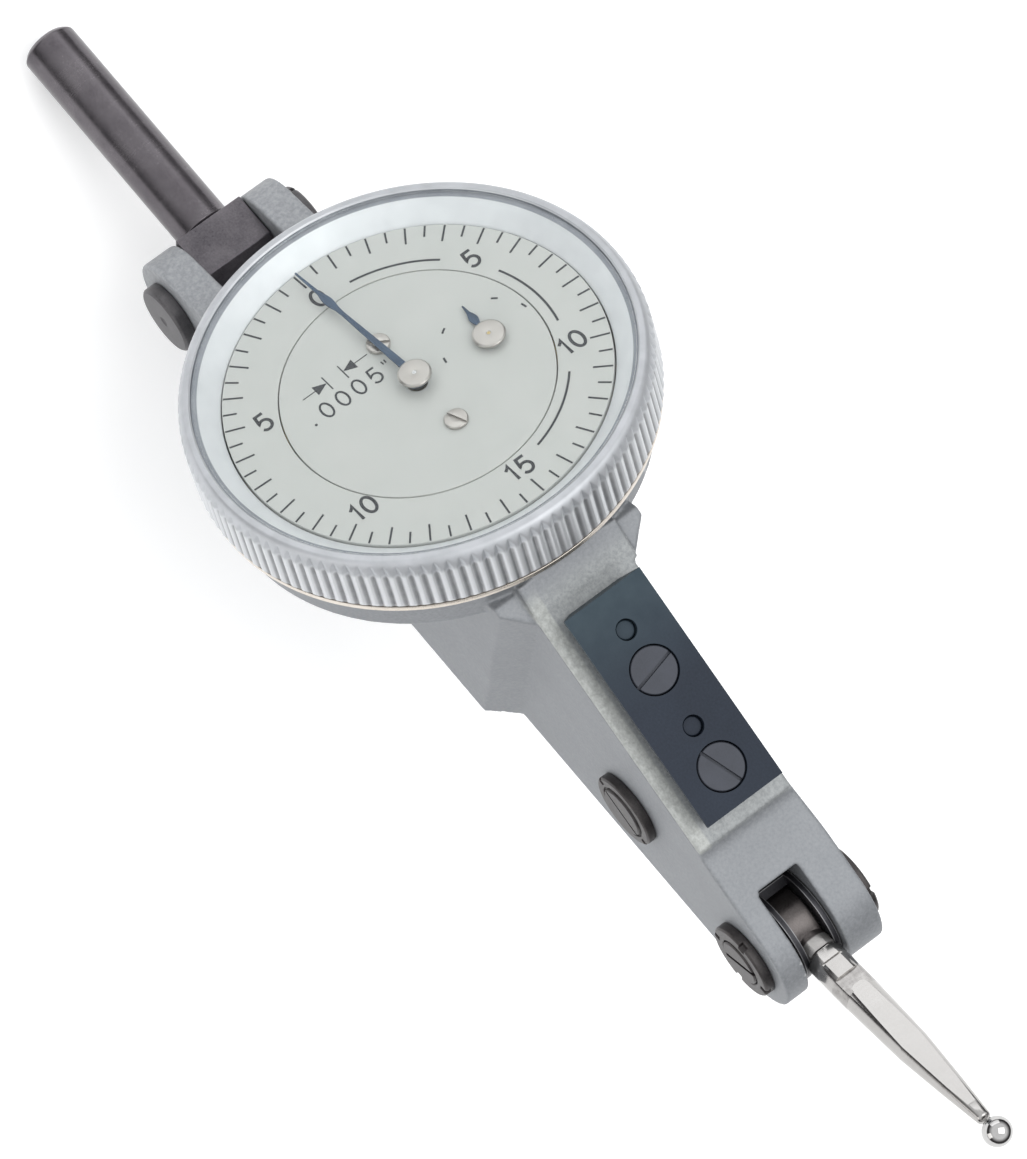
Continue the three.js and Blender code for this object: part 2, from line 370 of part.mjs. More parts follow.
// ------------------------------------------------------------ lever yoke
let yoke = cylY(0, 0, 3.4, CONTACT_Y - 1.45, CONTACT_Y - 1.05, 28).add(cylY(0, 0, 3.4, CONTACT_Y + 1.05, CONTACT_Y + 1.45, 28));
const rearA = Math.atan2(-ad[1], -ad[0]) / rad;
const web = [...arc(0, 0, 3.38, rearA - 38, rearA + 38, 8), ...arc(0, 0, 2.62, rearA + 38, rearA - 38, 8)];
yoke = yoke.add(side(web, CONTACT_Y - 1.45, CONTACT_Y + 1.45));
yoke = yoke.add(side([Q(-3.0, 0.75), Q(-A1 - 0.75, 0.55), Q(-A1 - 0.75, -0.55), Q(-3.0, -0.75)], CONTACT_Y - 0.75, CONTACT_Y + 0.75));
yoke = yoke.subtract(cylY(0, 0, 0.75, CONTACT_Y - 2, CONTACT_Y + 2, 20)).subtract(cylY(...[...Q(-A1, 0)], 0.42, CONTACT_Y - 2, CONTACT_Y + 2, 20));
const yk = put(group, 'lever_yoke', yoke, 'oxide'); yk.position.set(FORK_P[0], 0, FORK_P[1]);
const pinAt = [FORK_P[0] + Q(-A1, 0)[0], FORK_P[1] + Q(-A1, 0)[1]];
const dp = put(group, 'drive_pin', cylYGeo(0, 0, 0.4, CONTACT_Y - 0.7, 2.3, 20), 'steel'); dp.position.set(pinAt[0], 0, pinAt[1]);

// --------------------------------------------------------------- contact point
const contact = new THREE.Group(); contact.name = 'contact_axes';
contact.position.set(FORK_P[0], CONTACT_Y, FORK_P[1]); contact.rotation.y = -CONTACT_ANG * rad;
group.add(contact);
// local +X runs out along the contact point
const turnX = (pts, n) => { const g = new THREE.LatheGeometry(pts.map(([x, r]) => new THREE.Vector2(r, x)), n); g.rotateZ(-Math.PI / 2); return g; };
let hub = cylY(0, 0, 2.4, -0.95, 0.95, 36).add(box(0, 3.4, -0.95, 0.95, -1.33, 1.33)).subtract(cylY(0, 0, 0.6, -2, 2, 20));
hub = hub.subtract(solid(turnX([[1.25, 0], [1.25, 0.52], [4.2, 0.52], [4.2, 0]], 20)));
put(contact, 'contact_hub', hub, 'oxide');
let pt = solid(turnX([[1.35, 0], [1.35, 0.45], [3.5, 0.45], [3.5, 1.3], [3.55, 1.33], [6.9, 1.33], [9.6, 1.27], [12.6, 1.19], [16.6, 0.84], [19.9, 0.5], [19.95, 0]], 24));
// ground flats on both faces, with a spanner recess near the thread
for (const f of [1, -1]) pt = pt.subtract(side([[3.4, 1.31], [4.42, 1.2], [4.42, 1.1], [4.56, 1.1], [4.56, 1.18], [5.92, 1.18], [5.92, 1.0], [6.95, 1.0], [7.05, 1.2], [18.6, 0.56], [19.3, 0.75], [19.3, 3], [3.4, 3]].map(([x, z]) => [x, z * f]), -3, 3));
put(contact, 'contact_point', pt, 'steel');
const ballG = new THREE.SphereGeometry(BALL_R, 16, 10);
let ball = solid(ballG).subtract(solid(turnX([[-3, 0], [-3, 0.56], [-0.82, 0.56], [-0.82, 0]], 24)));
const bm = put(contact, 'contact_ball', ball, 'steel'); bm.position.set(CONTACT_L, 0, 0);

// --------------------------------------------- bearing screws through the sides
const bearing = (name, at, s, r0, tip, face, R, mat, rot) => {
  // local +Z outwards from the side; shank from tip to the wall, slotted head at face
  let g = latheZ([[0, tip], [r0 * 0.45, tip], [r0, tip + 0.6], [r0, NECK_HW - 0.3], [r0, face], [0, face]], 20);
  if (R > r0) g = g.add(latheZ([[0, NECK_HW + 0.04], [R, NECK_HW + 0.04], [R, face - 0.22], [R - 0.12, face - 0.1], [0, face - 0.1]], 24));
  g = g.subtract(box(-3, 3, -0.17, 0.17, face - 0.32, face + 1));
  const gg = geomOf(g); gg.rotateZ(rot); outY(gg, 0, 0, 0, s);
  const m = put(group, name, gg, mat); m.position.set(at[0], 0, at[1]); return m;
};
bearing('mid_bearing_screw_left', MID_P, 1, 1.28, 2.55, NECK_HW + 0.82, 2.65, 'screwd', 0.4);
bearing('mid_bearing_screw_right', MID_P, -1, 1.28, 2.55, NECK_HW + 0.82, 2.65, 'screwd', 0.03);
// the fork's bearing screws, each tip in the yoke's cheek, with a lock ring
const forkScrew = (name, s) => {
  const inner = s > 0 ? CONTACT_Y + 1.55 : -(CONTACT_Y - 1.55);
  let g = latheZ([[0, inner - 0.35], [0.4, inner - 0.35], [0.62, inner + 0.05], [0.9, inner + 0.3], [1.66, inner + 0.35], [1.66, NECK_HW + 0.85], [0, NECK_HW + 0.85]], 20);
  g = g.subtract(box(-3, 3, -0.16, 0.16, NECK_HW + 0.5, 9));
  const gg = geomOf(g); gg.rotateZ(s > 0 ? 0.7 : 0.97); outY(gg, 0, 0, 0, s);
  const m = put(group, name, gg, 'screwd'); m.position.set(FORK_P[0], 0, FORK_P[1]);
  let r = latheZ([[1.74, NECK_HW + 0.05], [2.7, NECK_HW + 0.05], [2.7, NECK_HW + 0.62], [2.55, NECK_HW + 0.75], [1.74, NECK_HW + 0.75], [1.74, NECK_HW + 0.05]], 28);
  for (let k = 0; k < 4; k++) r = r.subtract(solid(boxGeo(2.2, 4, -0.3, 0.3, NECK_HW + 0.35, 9).rotateZ(k * Math.PI / 2 + 0.4)));
  const rg = geomOf(r); outY(rg, 0, 0, 0, s);
  const q = put(group, 'fork_lock_ring_' + (s > 0 ? 'left' : 'right'), rg, 'screwd'); q.position.set(FORK_P[0], 0, FORK_P[1]);
};
forkScrew('fork_bearing_screw_left', 1);
forkScrew('fork_bearing_screw_right', -1);

// ------------------------------------------------------------- swivel stem
const stem = new THREE.Group(); stem.name = 'stem_axes';
stem.position.set(SWIVEL_P[0], 0, SWIVEL_P[1]); stem.rotation.y = -BODY_SLOPE * rad;
group.add(stem);
const bpts = [[-3.3, 2.35], [0.05, 2.35], [2.3, 0.6], [2.95, -0.5], [2.5, -1.5], [1.2, -2.35], [-3.3, -2.35]];
let blk = side(bpts, -CLEVIS_HW + 0.12, CLEVIS_HW - 0.12).subtract(cylY(0, 0, 1.28, -5, 5, 28)).subtract(solid(turnX([[-6, 0], [-6, 1.25], [-1.85, 1.25], [-1.85, 0]], 20)));
put(stem, 'swivel_block', blk, 'oxide');
let rod = turnX([[-STEM_LEN, 0], [-STEM_LEN, STEM_R - 0.3], [-STEM_LEN + 0.3, STEM_R], [-3.4, STEM_R], [-3.4, 1.2], [-1.95, 1.2], [-1.95, 0]], 24);
put(stem, 'stem', rod, 'oxide');
const swPin = put(group, 'swivel_pin', cylYGeo(0, 0, 1.22, -3.4, 3.4, 28), 'oxide'); swPin.position.set(SWIVEL_P[0], 0, SWIVEL_P[1]);
for (const s of [-1, 1]) {
  // a slotted head on the left, a plain one with a centre mark on the right
  const R = s > 0 ? 2.6 : 2.45, top = EAR_HW + (s > 0 ? 0.8 : 1.0);
  let g = latheZ([[0, 3.5], [1.2, 3.5], [1.2, EAR_HW + 0.04], [R, EAR_HW + 0.04], [R, top - 0.18], [R - 0.18, top], [0, top]], 28);
  g = g.subtract(s > 0 ? box(-4, 4, -0.2, 0.2, EAR_HW + 0.45, 9) : latheZ([[0, top - 0.16], [0.42, top + 0.02], [0.42, top + 1], [0, top + 1]], 16));
  const gg = geomOf(g); gg.rotateZ(s > 0 ? 0.5 : 0); outY(gg, 0, 0, 0, s);
  const m = put(group, 'clevis_screw_' + (s > 0 ? 'left' : 'right'), gg, 'screwd'); m.position.set(SWIVEL_P[0], 0, SWIVEL_P[1]);
}

export default group;
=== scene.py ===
# Looks for the lever-type dial test indicator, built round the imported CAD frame.
# Shapes are made in millimetres in the part's own axes and scaled to metres at the end.
import bpy
import bmesh
import math
from mathutils import Matrix, Vector


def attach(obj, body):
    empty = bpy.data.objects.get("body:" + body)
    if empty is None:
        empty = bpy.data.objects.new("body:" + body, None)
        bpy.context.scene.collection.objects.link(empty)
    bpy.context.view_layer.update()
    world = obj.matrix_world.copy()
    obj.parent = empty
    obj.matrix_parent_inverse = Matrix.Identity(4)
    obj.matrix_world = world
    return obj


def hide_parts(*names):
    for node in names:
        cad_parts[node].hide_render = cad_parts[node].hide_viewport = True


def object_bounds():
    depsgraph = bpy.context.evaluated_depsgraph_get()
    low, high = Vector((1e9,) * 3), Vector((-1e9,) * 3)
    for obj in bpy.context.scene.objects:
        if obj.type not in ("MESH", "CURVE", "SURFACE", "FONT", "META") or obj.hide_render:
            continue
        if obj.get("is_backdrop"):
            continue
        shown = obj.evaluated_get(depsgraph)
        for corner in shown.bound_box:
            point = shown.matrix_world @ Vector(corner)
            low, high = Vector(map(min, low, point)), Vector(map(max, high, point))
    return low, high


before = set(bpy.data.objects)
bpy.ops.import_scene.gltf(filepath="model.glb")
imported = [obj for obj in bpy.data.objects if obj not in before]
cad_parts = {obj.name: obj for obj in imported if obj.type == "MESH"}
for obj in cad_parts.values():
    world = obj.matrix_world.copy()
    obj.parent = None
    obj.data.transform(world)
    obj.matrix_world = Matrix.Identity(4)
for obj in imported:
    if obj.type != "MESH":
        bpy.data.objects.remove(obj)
b0, b1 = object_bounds()
CAD_BOX = [list(b0), list(b1)]

# ------------------------------------------------------------------ dimensions (mm)
DIAL_TILT = 40.3
DIAL_C = (-25.26, -7.84)
BODY_SLOPE = 22.8
BOTTOM_AT = (13.22, -13.17)
FORK_P = (17.1, -6.9)
FORK_R, FORK_END = 4.2, (16.82, -6.85)
CONTACT_Y, CONTACT_ANG, CONTACT_L, BALL_R = -0.45, 38.3, 21.1, 1.02
MID_P = (5.1, -9.8)
SWIVEL_P, SWIVEL_R = (-36.9, -30.1), 3.8
STEM_LEN, STEM_R = 21.0, 1.98
NECK_HW, BLOCK_HW, EAR_HW, CLEVIS_HW = 3.96, 5.8, 5.23, 2.76
RIDGE_Z, NOSE_Z = -2.05, -2.65
RAIL_HL, RAIL_HW = 8.0, 3.04
RAIL_SCREW_X, RAIL_PIN_X = (-2.14, 5.37), (-5.27, 2.2)
BEZEL_R, CUP_R, CUP_BOTTOM = 15.6, 14.9, -6.9
COUNTER = (0.55, 5.53)
SCREW_U = 4.25

rad = math.radians
cD, sD = math.cos(rad(DIAL_TILT)), math.sin(rad(DIAL_TILT))


def D2R(u, w):
    return (DIAL_C[0] + u * cD - w * sD, DIAL_C[1] + u * sD + w * cD)


slope = math.tan(rad(BODY_SLOPE))


def zb(x):
    return BOTTOM_AT[1] + (x - BOTTOM_AT[0]) * slope


I4 = Matrix.Identity(4)
DIAL = Matrix.Translation((DIAL_C[0], 0, DIAL_C[1])) @ Matrix.Rotation(rad(-DIAL_TILT), 4, "Y")
CONTACT = Matrix.Translation((FORK_P[0], CONTACT_Y, FORK_P[1])) @ Matrix.Rotation(rad(-CONTACT_ANG), 4, "Y")
STEM = Matrix.Translation((SWIVEL_P[0], 0, SWIVEL_P[1])) @ Matrix.Rotation(rad(-BODY_SLOPE), 4, "Y")
# local +Z outwards along +Y (side 1) or -Y (side -1)


def outward(x, z, s, y=0.0):
    return Matrix.Translation((x, y, z)) @ Matrix.Rotation(rad(-90 if s > 0 else 90), 4, "X")


def in_body(x, z, a=BODY_SLOPE):
    return Matrix.Translation((x, 0, z)) @ Matrix.Rotation(rad(-a), 4, "Y")


ALONG_X = Matrix.Rotation(rad(90), 4, "Y")     # a lathe's +Z becomes +X


# ------------------------------------------------------------------ mesh helpers
def mesh(verts, faces):
    me = bpy.data.meshes.new("m")
    me.from_pydata([tuple(v) for v in verts], [], faces)
    me.validate()
    bm = bmesh.new()
    bm.from_mesh(me)
    bmesh.ops.remove_doubles(bm, verts=bm.verts, dist=1e-6)
    bmesh.ops.recalc_face_normals(bm, faces=bm.faces)
    bm.to_mesh(me)
    bm.free()
    me.update()
    return me


def moved(me, m):
    me.transform(m)
    if m.determinant() < 0:
        me.flip_normals()
    me.update()
    return me


def fillet(pts, r=0.1, seg=3, closed=False):
    """Rounds a polyline's corners. A third number in a point is its own radius."""
    out, n = [], len(pts)
    for i, p in enumerate(pts):
        q = Vector(p[:2])
        rr = p[2] if len(p) > 2 else r
        if (not closed and i in (0, n - 1)) or rr <= 0:
            out.append((q.x, q.y))
            continue
        a, b = Vector(pts[i - 1][:2]) - q, Vector(pts[(i + 1) % n][:2]) - q
        la, lb = a.length, b.length
        if la < 1e-9 or lb < 1e-9:
            out.append((q.x, q.y))
            continue
        a, b = a / la, b / lb
        ang = math.acos(max(-1, min(1, a.dot(b))))
        if ang > math.pi - 0.05:
            out.append((q.x, q.y))
            continue
        t = min(rr / math.tan(ang / 2), 0.48 * la, 0.48 * lb)
        for k in range(seg + 1):
            f = k / seg
            c = (q + a * t) * (1 - f) ** 2 + q * 2 * f * (1 - f) + (q + b * t) * f ** 2
            out.append((c.x, c.y))
    return out


def lathe(pts, n=96, closed=False, m=None, squash=None):
    """A profile of (radius, height) turned about Z."""
    verts, rings = [], []
    for r, h in pts:
        if r < 1e-7:
            rings.append([len(verts)])
            verts.append((0, 0, h))
        else:
            rings.append(list(range(len(verts), len(verts) + n)))
            for k in range(n):
                a = 2 * math.pi * k / n
                verts.append((r * math.cos(a), r * math.sin(a), h))
    faces = []
    pairs = list(zip(rings, rings[1:] + rings[:1])) if closed else list(zip(rings, rings[1:]))
    for a, b in pairs:
        if len(a) == 1 and len(b) == 1:
            continue
        for k in range(n):
            k2 = (k + 1) % n
            if len(a) == 1:
                faces.append((a[0], b[k], b[k2]))
            elif len(b) == 1:
                faces.append((a[k], a[k2], b[0]))
            else:
                faces.append((a[k], a[k2], b[k2], b[k]))
    me = mesh(verts, faces)
    return moved(me, m) if m is not None else me


def prism(pts, y0, y1, m=None):
    """A polygon in X, Z pushed from y0 to y1."""
    n = len(pts)
    verts = [(x, y0, z) for x, z in pts] + [(x, y1, z) for x, z in pts]
    faces = [tuple(range(n)), tuple(range(2 * n - 1, n - 1, -1))]
    faces += [(k, (k + 1) % n, n + (k + 1) % n, n + k) for k in range(n)]
    me = mesh(verts, faces)
    return moved(me, m) if m is not None else me


def plate(pts, z0, z1, m=None):
    """A polygon in the plan plane pushed along Z."""
    n = len(pts)
    verts = [(x, y, z0) for x, y in pts] + [(x, y, z1) for x, y in pts]
    faces = [tuple(range(n)), tuple(range(2 * n - 1, n - 1, -1))]
    faces += [(k, (k + 1) % n, n + (k + 1) % n, n + k) for k in range(n)]
    me = mesh(verts, faces)
    return moved(me, m) if m is not None else me


def arc(cx, cz, r, a0, a1, n):
    return [(cx + r * math.cos(rad(a0 + (a1 - a0) * i / n)), cz + r * math.sin(rad(a0 + (a1 - a0) * i / n))) for i in range(n + 1)]


def ring_pts(cx, cy, r, n):
    return arc(cx, cy, r, 0, 360 * (n - 1) / n, n - 1)


def cyl_y(x, z, r, y0, y1, n=64):
    return prism(ring_pts(x, z, r, n), y0, y1)


def cyl_z(x, y, r, z0, z1, n=64, m=None):
    return plate(ring_pts(x, y, r, n), z0, z1, m)


def box(x0, x1, y0, y1, z0, z1, m=None):
    return plate([(x0, y0), (x1, y0), (x1, y1), (x0, y1)], z0, z1, m)


def temp(me):
    ob = bpy.data.objects.new("t", me)
    bpy.context.scene.collection.objects.link(ob)
    return ob


def applied(ob):
    dg = bpy.context.evaluated_depsgraph_get()
    dg.update()
    me = bpy.data.meshes.new_from_object(ob.evaluated_get(dg))
    old = ob.data
    bpy.data.objects.remove(ob)
    if old.users == 0:
        bpy.data.meshes.remove(old)
    return me


def boolean(a, bs, op="DIFFERENCE", solver="MANIFOLD"):
    oa = temp(a)
    obs = []
    for b in bs:
        ob = temp(b)
        ob.hide_render = True
        md = oa.modifiers.new("b", "BOOLEAN")
        md.operation, md.object = op, ob
        md.solver = solver
        obs.append(ob)
    me = applied(oa)
    for ob in obs:
        d = ob.data
        bpy.data.objects.remove(ob)
        bpy.data.meshes.remove(d)
    return me


def cut(a, *bs):
    return boolean(a, bs, "DIFFERENCE")


def join(a, *bs):
    return boolean(a, bs, "UNION")


def dissolved(me, ang=0.4):
    bm = bmesh.new()
    bm.from_mesh(me)
    bmesh.ops.remove_doubles(bm, verts=bm.verts, dist=1e-4)
    bmesh.ops.dissolve_limit(bm, angle_limit=rad(ang), verts=bm.verts, edges=bm.edges, use_dissolve_boundaries=False)
    bm.to_mesh(me)
    bm.free()
    me.update()
    return me


def bevelled(me, width, seg=3, ang=32, clean=True):
    if clean:
        dissolved(me)
    ob = temp(me)
    md = ob.modifiers.new("b", "BEVEL")
    md.width, md.segments, md.limit_method, md.angle_limit = width, seg, "ANGLE", rad(ang)
    md.use_clamp_overlap = True
    md.miter_outer = "MITER_SHARP"
    return applied(ob)


def softened(me, voxel, smooth_n, factor=0.5):
    """Even rounding of every edge, as on a blasted casting."""
    ob = temp(me)
    md = ob.modifiers.new("r", "REMESH")
    md.mode, md.voxel_size, md.adaptivity = "VOXEL", voxel, 0.0
    sm = ob.modifiers.new("s", "SMOOTH")
    sm.factor, sm.iterations = factor, smooth_n
    return applied(ob)


def thinned(me, ratio):
    ob = temp(me)
    md = ob.modifiers.new("d", "DECIMATE")
    md.ratio = ratio
    return applied(ob)


def joined(*mes):
    """Several meshes as one, without a boolean."""
    bm = bmesh.new()
    for me in mes:
        bm.from_mesh(me)
    out = bpy.data.meshes.new("m")
    bm.to_mesh(out)
    bm.free()
    return out


def piece(me, name, body, mat, m=I4, stands_for=(), sharp=38, weighted=True):
    me.transform(Matrix.Scale(0.001, 4) @ m)
    if m.determinant() < 0:
        me.flip_normals()
    me.name = name
    for p in me.polygons:
        p.use_smooth = True
    me.set_sharp_from_angle(angle=rad(sharp))
    me.materials.clear()
    me.materials.append(mat)
    me.update()
    ob = bpy.data.objects.new(name, me)
    bpy.context.scene.collection.objects.link(ob)
    if weighted:
        w = ob.modifiers.new("wn", "WEIGHTED_NORMAL")
        w.keep_sharp, w.weight, w.mode = True, 60, "FACE_AREA"
    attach(ob, body)
    if stands_for:
        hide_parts(*stands_for)
    return ob


# ------------------------------------------------------------------ materials
def new_mat(name):
    m = bpy.data.materials.new(name)
    m.use_nodes = True
    nt = m.node_tree
    nt.nodes.clear()
    out = nt.nodes.new("ShaderNodeOutputMaterial")
    bs = nt.nodes.new("ShaderNodeBsdfPrincipled")
    nt.links.new(bs.outputs[0], out.inputs[0])
    return m, nt, bs, out


def nd(nt, kind, **kw):
    n = nt.nodes.new(kind)
    for k, v in kw.items():
        if k in n.inputs:
            n.inputs[k].default_value = v
        else:
            setattr(n, k, v)
    return n


def ramp(nt, fac, stops):
    r = nt.nodes.new("ShaderNodeValToRGB")
    el = r.color_ramp.elements
    while len(el) < len(stops):
        el.new(0.5)
    for e, (p, c) in zip(el, stops):
        e.position = p
        e.color = (*c, 1) if len(c) == 3 else c
    nt.links.new(fac, r.inputs[0])
    return r.outputs[0]


def grey(c):
    return (c, c, c)


def coords(nt, centre=None, axis=None, stretch=None, turn=None):
    """Object coordinates; turned parts read (radius, height) about their axis, and drawn or ground ones are stretched."""
    tc = nt.nodes.new("ShaderNodeTexCoord")
    v = tc.outputs["Object"]
    if axis is not None:
        s = nd(nt, "ShaderNodeVectorMath", operation="SUBTRACT")
        nt.links.new(v, s.inputs[0])
        s.inputs[1].default_value = [c * 0.001 for c in centre]
        d = nd(nt, "ShaderNodeVectorMath", operation="DOT_PRODUCT")
        nt.links.new(s.outputs[0], d.inputs[0])
        d.inputs[1].default_value = axis
        sc = nd(nt, "ShaderNodeVectorMath", operation="SCALE")
        sc.inputs[0].default_value = axis
        nt.links.new(d.outputs["Value"], sc.inputs["Scale"])
        p = nd(nt, "ShaderNodeVectorMath", operation="SUBTRACT")
        nt.links.new(s.outputs[0], p.inputs[0])
        nt.links.new(sc.outputs[0], p.inputs[1])
        ln = nd(nt, "ShaderNodeVectorMath", operation="LENGTH")
        nt.links.new(p.outputs[0], ln.inputs[0])
        cx = nt.nodes.new("ShaderNodeCombineXYZ")
        nt.links.new(ln.outputs["Value"], cx.inputs[0])
        nt.links.new(d.outputs["Value"], cx.inputs[1])
        # a little of the plain position, so the rings aren't perfect
        a = nd(nt, "ShaderNodeVectorMath", operation="MULTIPLY_ADD")
        nt.links.new(v, a.inputs[0])
        a.inputs[1].default_value = (0.012, 0.012, 0.012)
        nt.links.new(cx.outputs[0], a.inputs[2])
        return v, a.outputs[0]
    if stretch is not None:
        mp = nt.nodes.new("ShaderNodeMapping")
        mp.vector_type = "TEXTURE" if False else "POINT"
        if turn is not None:
            mp.inputs["Rotation"].default_value = turn
        mp.inputs["Scale"].default_value = stretch
        nt.links.new(v, mp.inputs["Vector"])
        return v, mp.outputs[0]
    return v, v


def noise(nt, vec, scale, detail=3.0, rough=0.55, dist=0.0):
    n = nt.nodes.new("ShaderNodeTexNoise")
    n.inputs["Scale"].default_value = scale
    n.inputs["Detail"].default_value = detail
    n.inputs["Roughness"].default_value = rough
    n.inputs["Distortion"].default_value = dist
    nt.links.new(vec, n.inputs["Vector"])
    return n.outputs["Fac"]


def mixc(nt, fac, a, b, blend="MIX"):
    m = nt.nodes.new("ShaderNodeMix")
    m.data_type, m.blend_type = "RGBA", blend
    for sock, val in ((m.inputs[0], fac), (m.inputs[6], a), (m.inputs[7], b)):
        if hasattr(val, "is_output") or isinstance(val, bpy.types.NodeSocket):
            nt.links.new(val, sock)
        elif isinstance(val, (int, float)):
            sock.default_value = val
        else:
            sock.default_value = (*val, 1)
    return m.outputs[2]


def maths(nt, op, a, b=0.0, clamp=False):
    m = nt.nodes.new("ShaderNodeMath")
    m.operation, m.use_clamp = op, clamp
    for i, val in enumerate((a, b)):
        if isinstance(val, bpy.types.NodeSocket):
            nt.links.new(val, m.inputs[i])
        else:
            m.inputs[i].default_value = val
    return m.outputs[0]


def metal(name, dark, light, metallic, r0, r1, patch=260.0, grain=7000.0, bump=0.25, depth=0.00001, grain_mix=0.35,
          wear=None, wear_at=(0.52, 0.6), centre=None, axis=None, stretch=None, turn=None, coat=0.0, coat_r=0.2, spec=0.5, lines=9000.0, lines_mix=0.0):
    """Patches of tone, a fine grain, marks of turning or grinding, and lighter worn edges."""
    m, nt, bs, out = new_mat(name)
    v, t = coords(nt, centre, axis, stretch, turn)
    big = noise(nt, v, patch, 4.0, 0.6)
    fine = noise(nt, v, grain, 2.0, 0.6)
    f = maths(nt, "ADD", maths(nt, "MULTIPLY", big, 1 - grain_mix), maths(nt, "MULTIPLY", fine, grain_mix))
    if axis is not None or stretch is not None:
        ln = noise(nt, t, lines, 3.0, 0.65)
        f = maths(nt, "ADD", maths(nt, "MULTIPLY", f, 1 - lines_mix), maths(nt, "MULTIPLY", ln, lines_mix))
    else:
        ln = None
    col = ramp(nt, f, [(0.3, dark), (0.7, light)])
    if wear is not None:
        g = nt.nodes.new("ShaderNodeNewGeometry")
        rub = maths(nt, "ADD", g.outputs["Pointiness"], maths(nt, "MULTIPLY", maths(nt, "SUBTRACT", noise(nt, v, 1500.0, 3.0), 0.5), 0.06))
        k = ramp(nt, rub, [(wear_at[0], grey(0)), (wear_at[1], grey(1))])
        col = mixc(nt, k, col, wear)
    nt.links.new(col, bs.inputs["Base Color"])
    bs.inputs["Metallic"].default_value = metallic
    rsrc = fine if ln is None else maths(nt, "ADD", maths(nt, "MULTIPLY", fine, 0.5), maths(nt, "MULTIPLY", ln, 0.5))
    rsrc = maths(nt, "ADD", maths(nt, "MULTIPLY", rsrc, 0.6), maths(nt, "MULTIPLY", big, 0.4))
    nt.links.new(ramp(nt, rsrc, [(0.3, grey(r0)), (0.7, grey(r1))]), bs.inputs["Roughness"])
    bp = nt.nodes.new("ShaderNodeBump")
    bp.inputs["Strength"].default_value = bump
    bp.inputs["Distance"].default_value = depth
    h = fine if ln is None else maths(nt, "ADD", maths(nt, "MULTIPLY", fine, 0.4), maths(nt, "MULTIPLY", ln, 0.6))
    nt.links.new(h, bp.inputs["Height"])
    nt.links.new(bp.outputs[0], bs.inputs["Normal"])
    bs.inputs["Specular IOR Level"].default_value = spec
    if coat:
        bs.inputs["Coat Weight"].default_value = coat
        bs.inputs["Coat Roughness"].default_value = coat_r
    return m


DN = (-sD, 0, cD)
DC = (DIAL_C[0], 0, DIAL_C[1])
SX = (math.cos(rad(BODY_SLOPE)), 0, math.sin(rad(BODY_SLOPE)))
SC = (SWIVEL_P[0], 0, SWIVEL_P[1])
CXA = (math.cos(rad(CONTACT_ANG)), 0, math.sin(rad(CONTACT_ANG)))
CC = (FORK_P[0], CONTACT_Y, FORK_P[1])
CNV = (-math.sin(rad(CONTACT_ANG)), 0, math.cos(rad(CONTACT_ANG)))

M_CAST = metal("cast_satin_chrome", (0.195, 0.205, 0.22), (0.295, 0.306, 0.322), 0.35, 0.46, 0.62, patch=420, grain=4600, bump=0.6, depth=0.00003,
               grain_mix=0.62, wear=(0.45, 0.46, 0.475), wear_at=(0.55, 0.66))
M_BEZEL = metal("bezel_satin_chrome", (0.60, 0.615, 0.635), (0.69, 0.705, 0.725), 0.6, 0.4, 0.5, patch=300, grain=9000, bump=0.1, depth=0.00001,
                centre=DC, axis=DN, lines=12000, lines_mix=0.2)
M_DIAL = metal("dial_enamel", (0.535, 0.543, 0.522), (0.575, 0.583, 0.562), 0.0, 0.5, 0.62, patch=350, grain=9000, bump=0.1, depth=0.000006, grain_mix=0.5, spec=0.35)
M_INK = metal("dial_ink", (0.02, 0.022, 0.027), (0.045, 0.048, 0.055), 0.0, 0.4, 0.55, patch=800, grain=9000, bump=0.05, depth=0.000002, spec=0.3)
M_BLUED = metal("blued_steel", (0.03, 0.05, 0.085), (0.075, 0.115, 0.175), 0.8, 0.26, 0.38, patch=600, grain=8000, bump=0.06, depth=0.000004)
M_NICKEL = metal("warm_nickel", (0.42, 0.395, 0.37), (0.5, 0.475, 0.45), 0.9, 0.27, 0.33, patch=700, grain=9000, bump=0.05, depth=0.000004, grain_mix=0.2)
M_BLACK = metal("blackened_steel", (0.010, 0.0145, 0.024), (0.024, 0.032, 0.048), 0.2, 0.42, 0.54, patch=200, grain=6000, bump=0.2, depth=0.00001, grain_mix=0.5, spec=0.22)
M_SCREW = metal("oxide_screw", (0.02, 0.023, 0.032), (0.045, 0.05, 0.065), 0.35, 0.38, 0.5, patch=500, grain=7000, bump=0.15, depth=0.00001, grain_mix=0.4)
M_SIDE = metal("oxide_side_screw", (0.03, 0.027, 0.028), (0.075, 0.068, 0.067), 0.6, 0.34, 0.48, patch=700, grain=7000, bump=0.15, depth=0.00001, grain_mix=0.4)
M_CLEVIS = metal("oxide_clevis_screw", (0.055, 0.053, 0.057), (0.115, 0.11, 0.115), 0.6, 0.34, 0.46, patch=700, grain=7000, bump=0.15, depth=0.00001, grain_mix=0.4)
M_STEM = metal("browned_steel", (0.082, 0.074, 0.083), (0.165, 0.152, 0.163), 0.85, 0.2, 0.3, patch=420, grain=7000, bump=0.06, depth=0.00001,
               centre=SC, axis=SX, lines=7000, lines_mix=0.12)
M_BLOCK = metal("browned_block", (0.06, 0.055, 0.064), (0.155, 0.143, 0.155), 0.75, 0.26, 0.4, patch=420, grain=7000, bump=0.12, depth=0.00001)
M_HUB = metal("contact_hub_steel", (0.06, 0.053, 0.052), (0.125, 0.113, 0.11), 0.85, 0.26, 0.38, patch=500, grain=8000, bump=0.1, depth=0.000006)
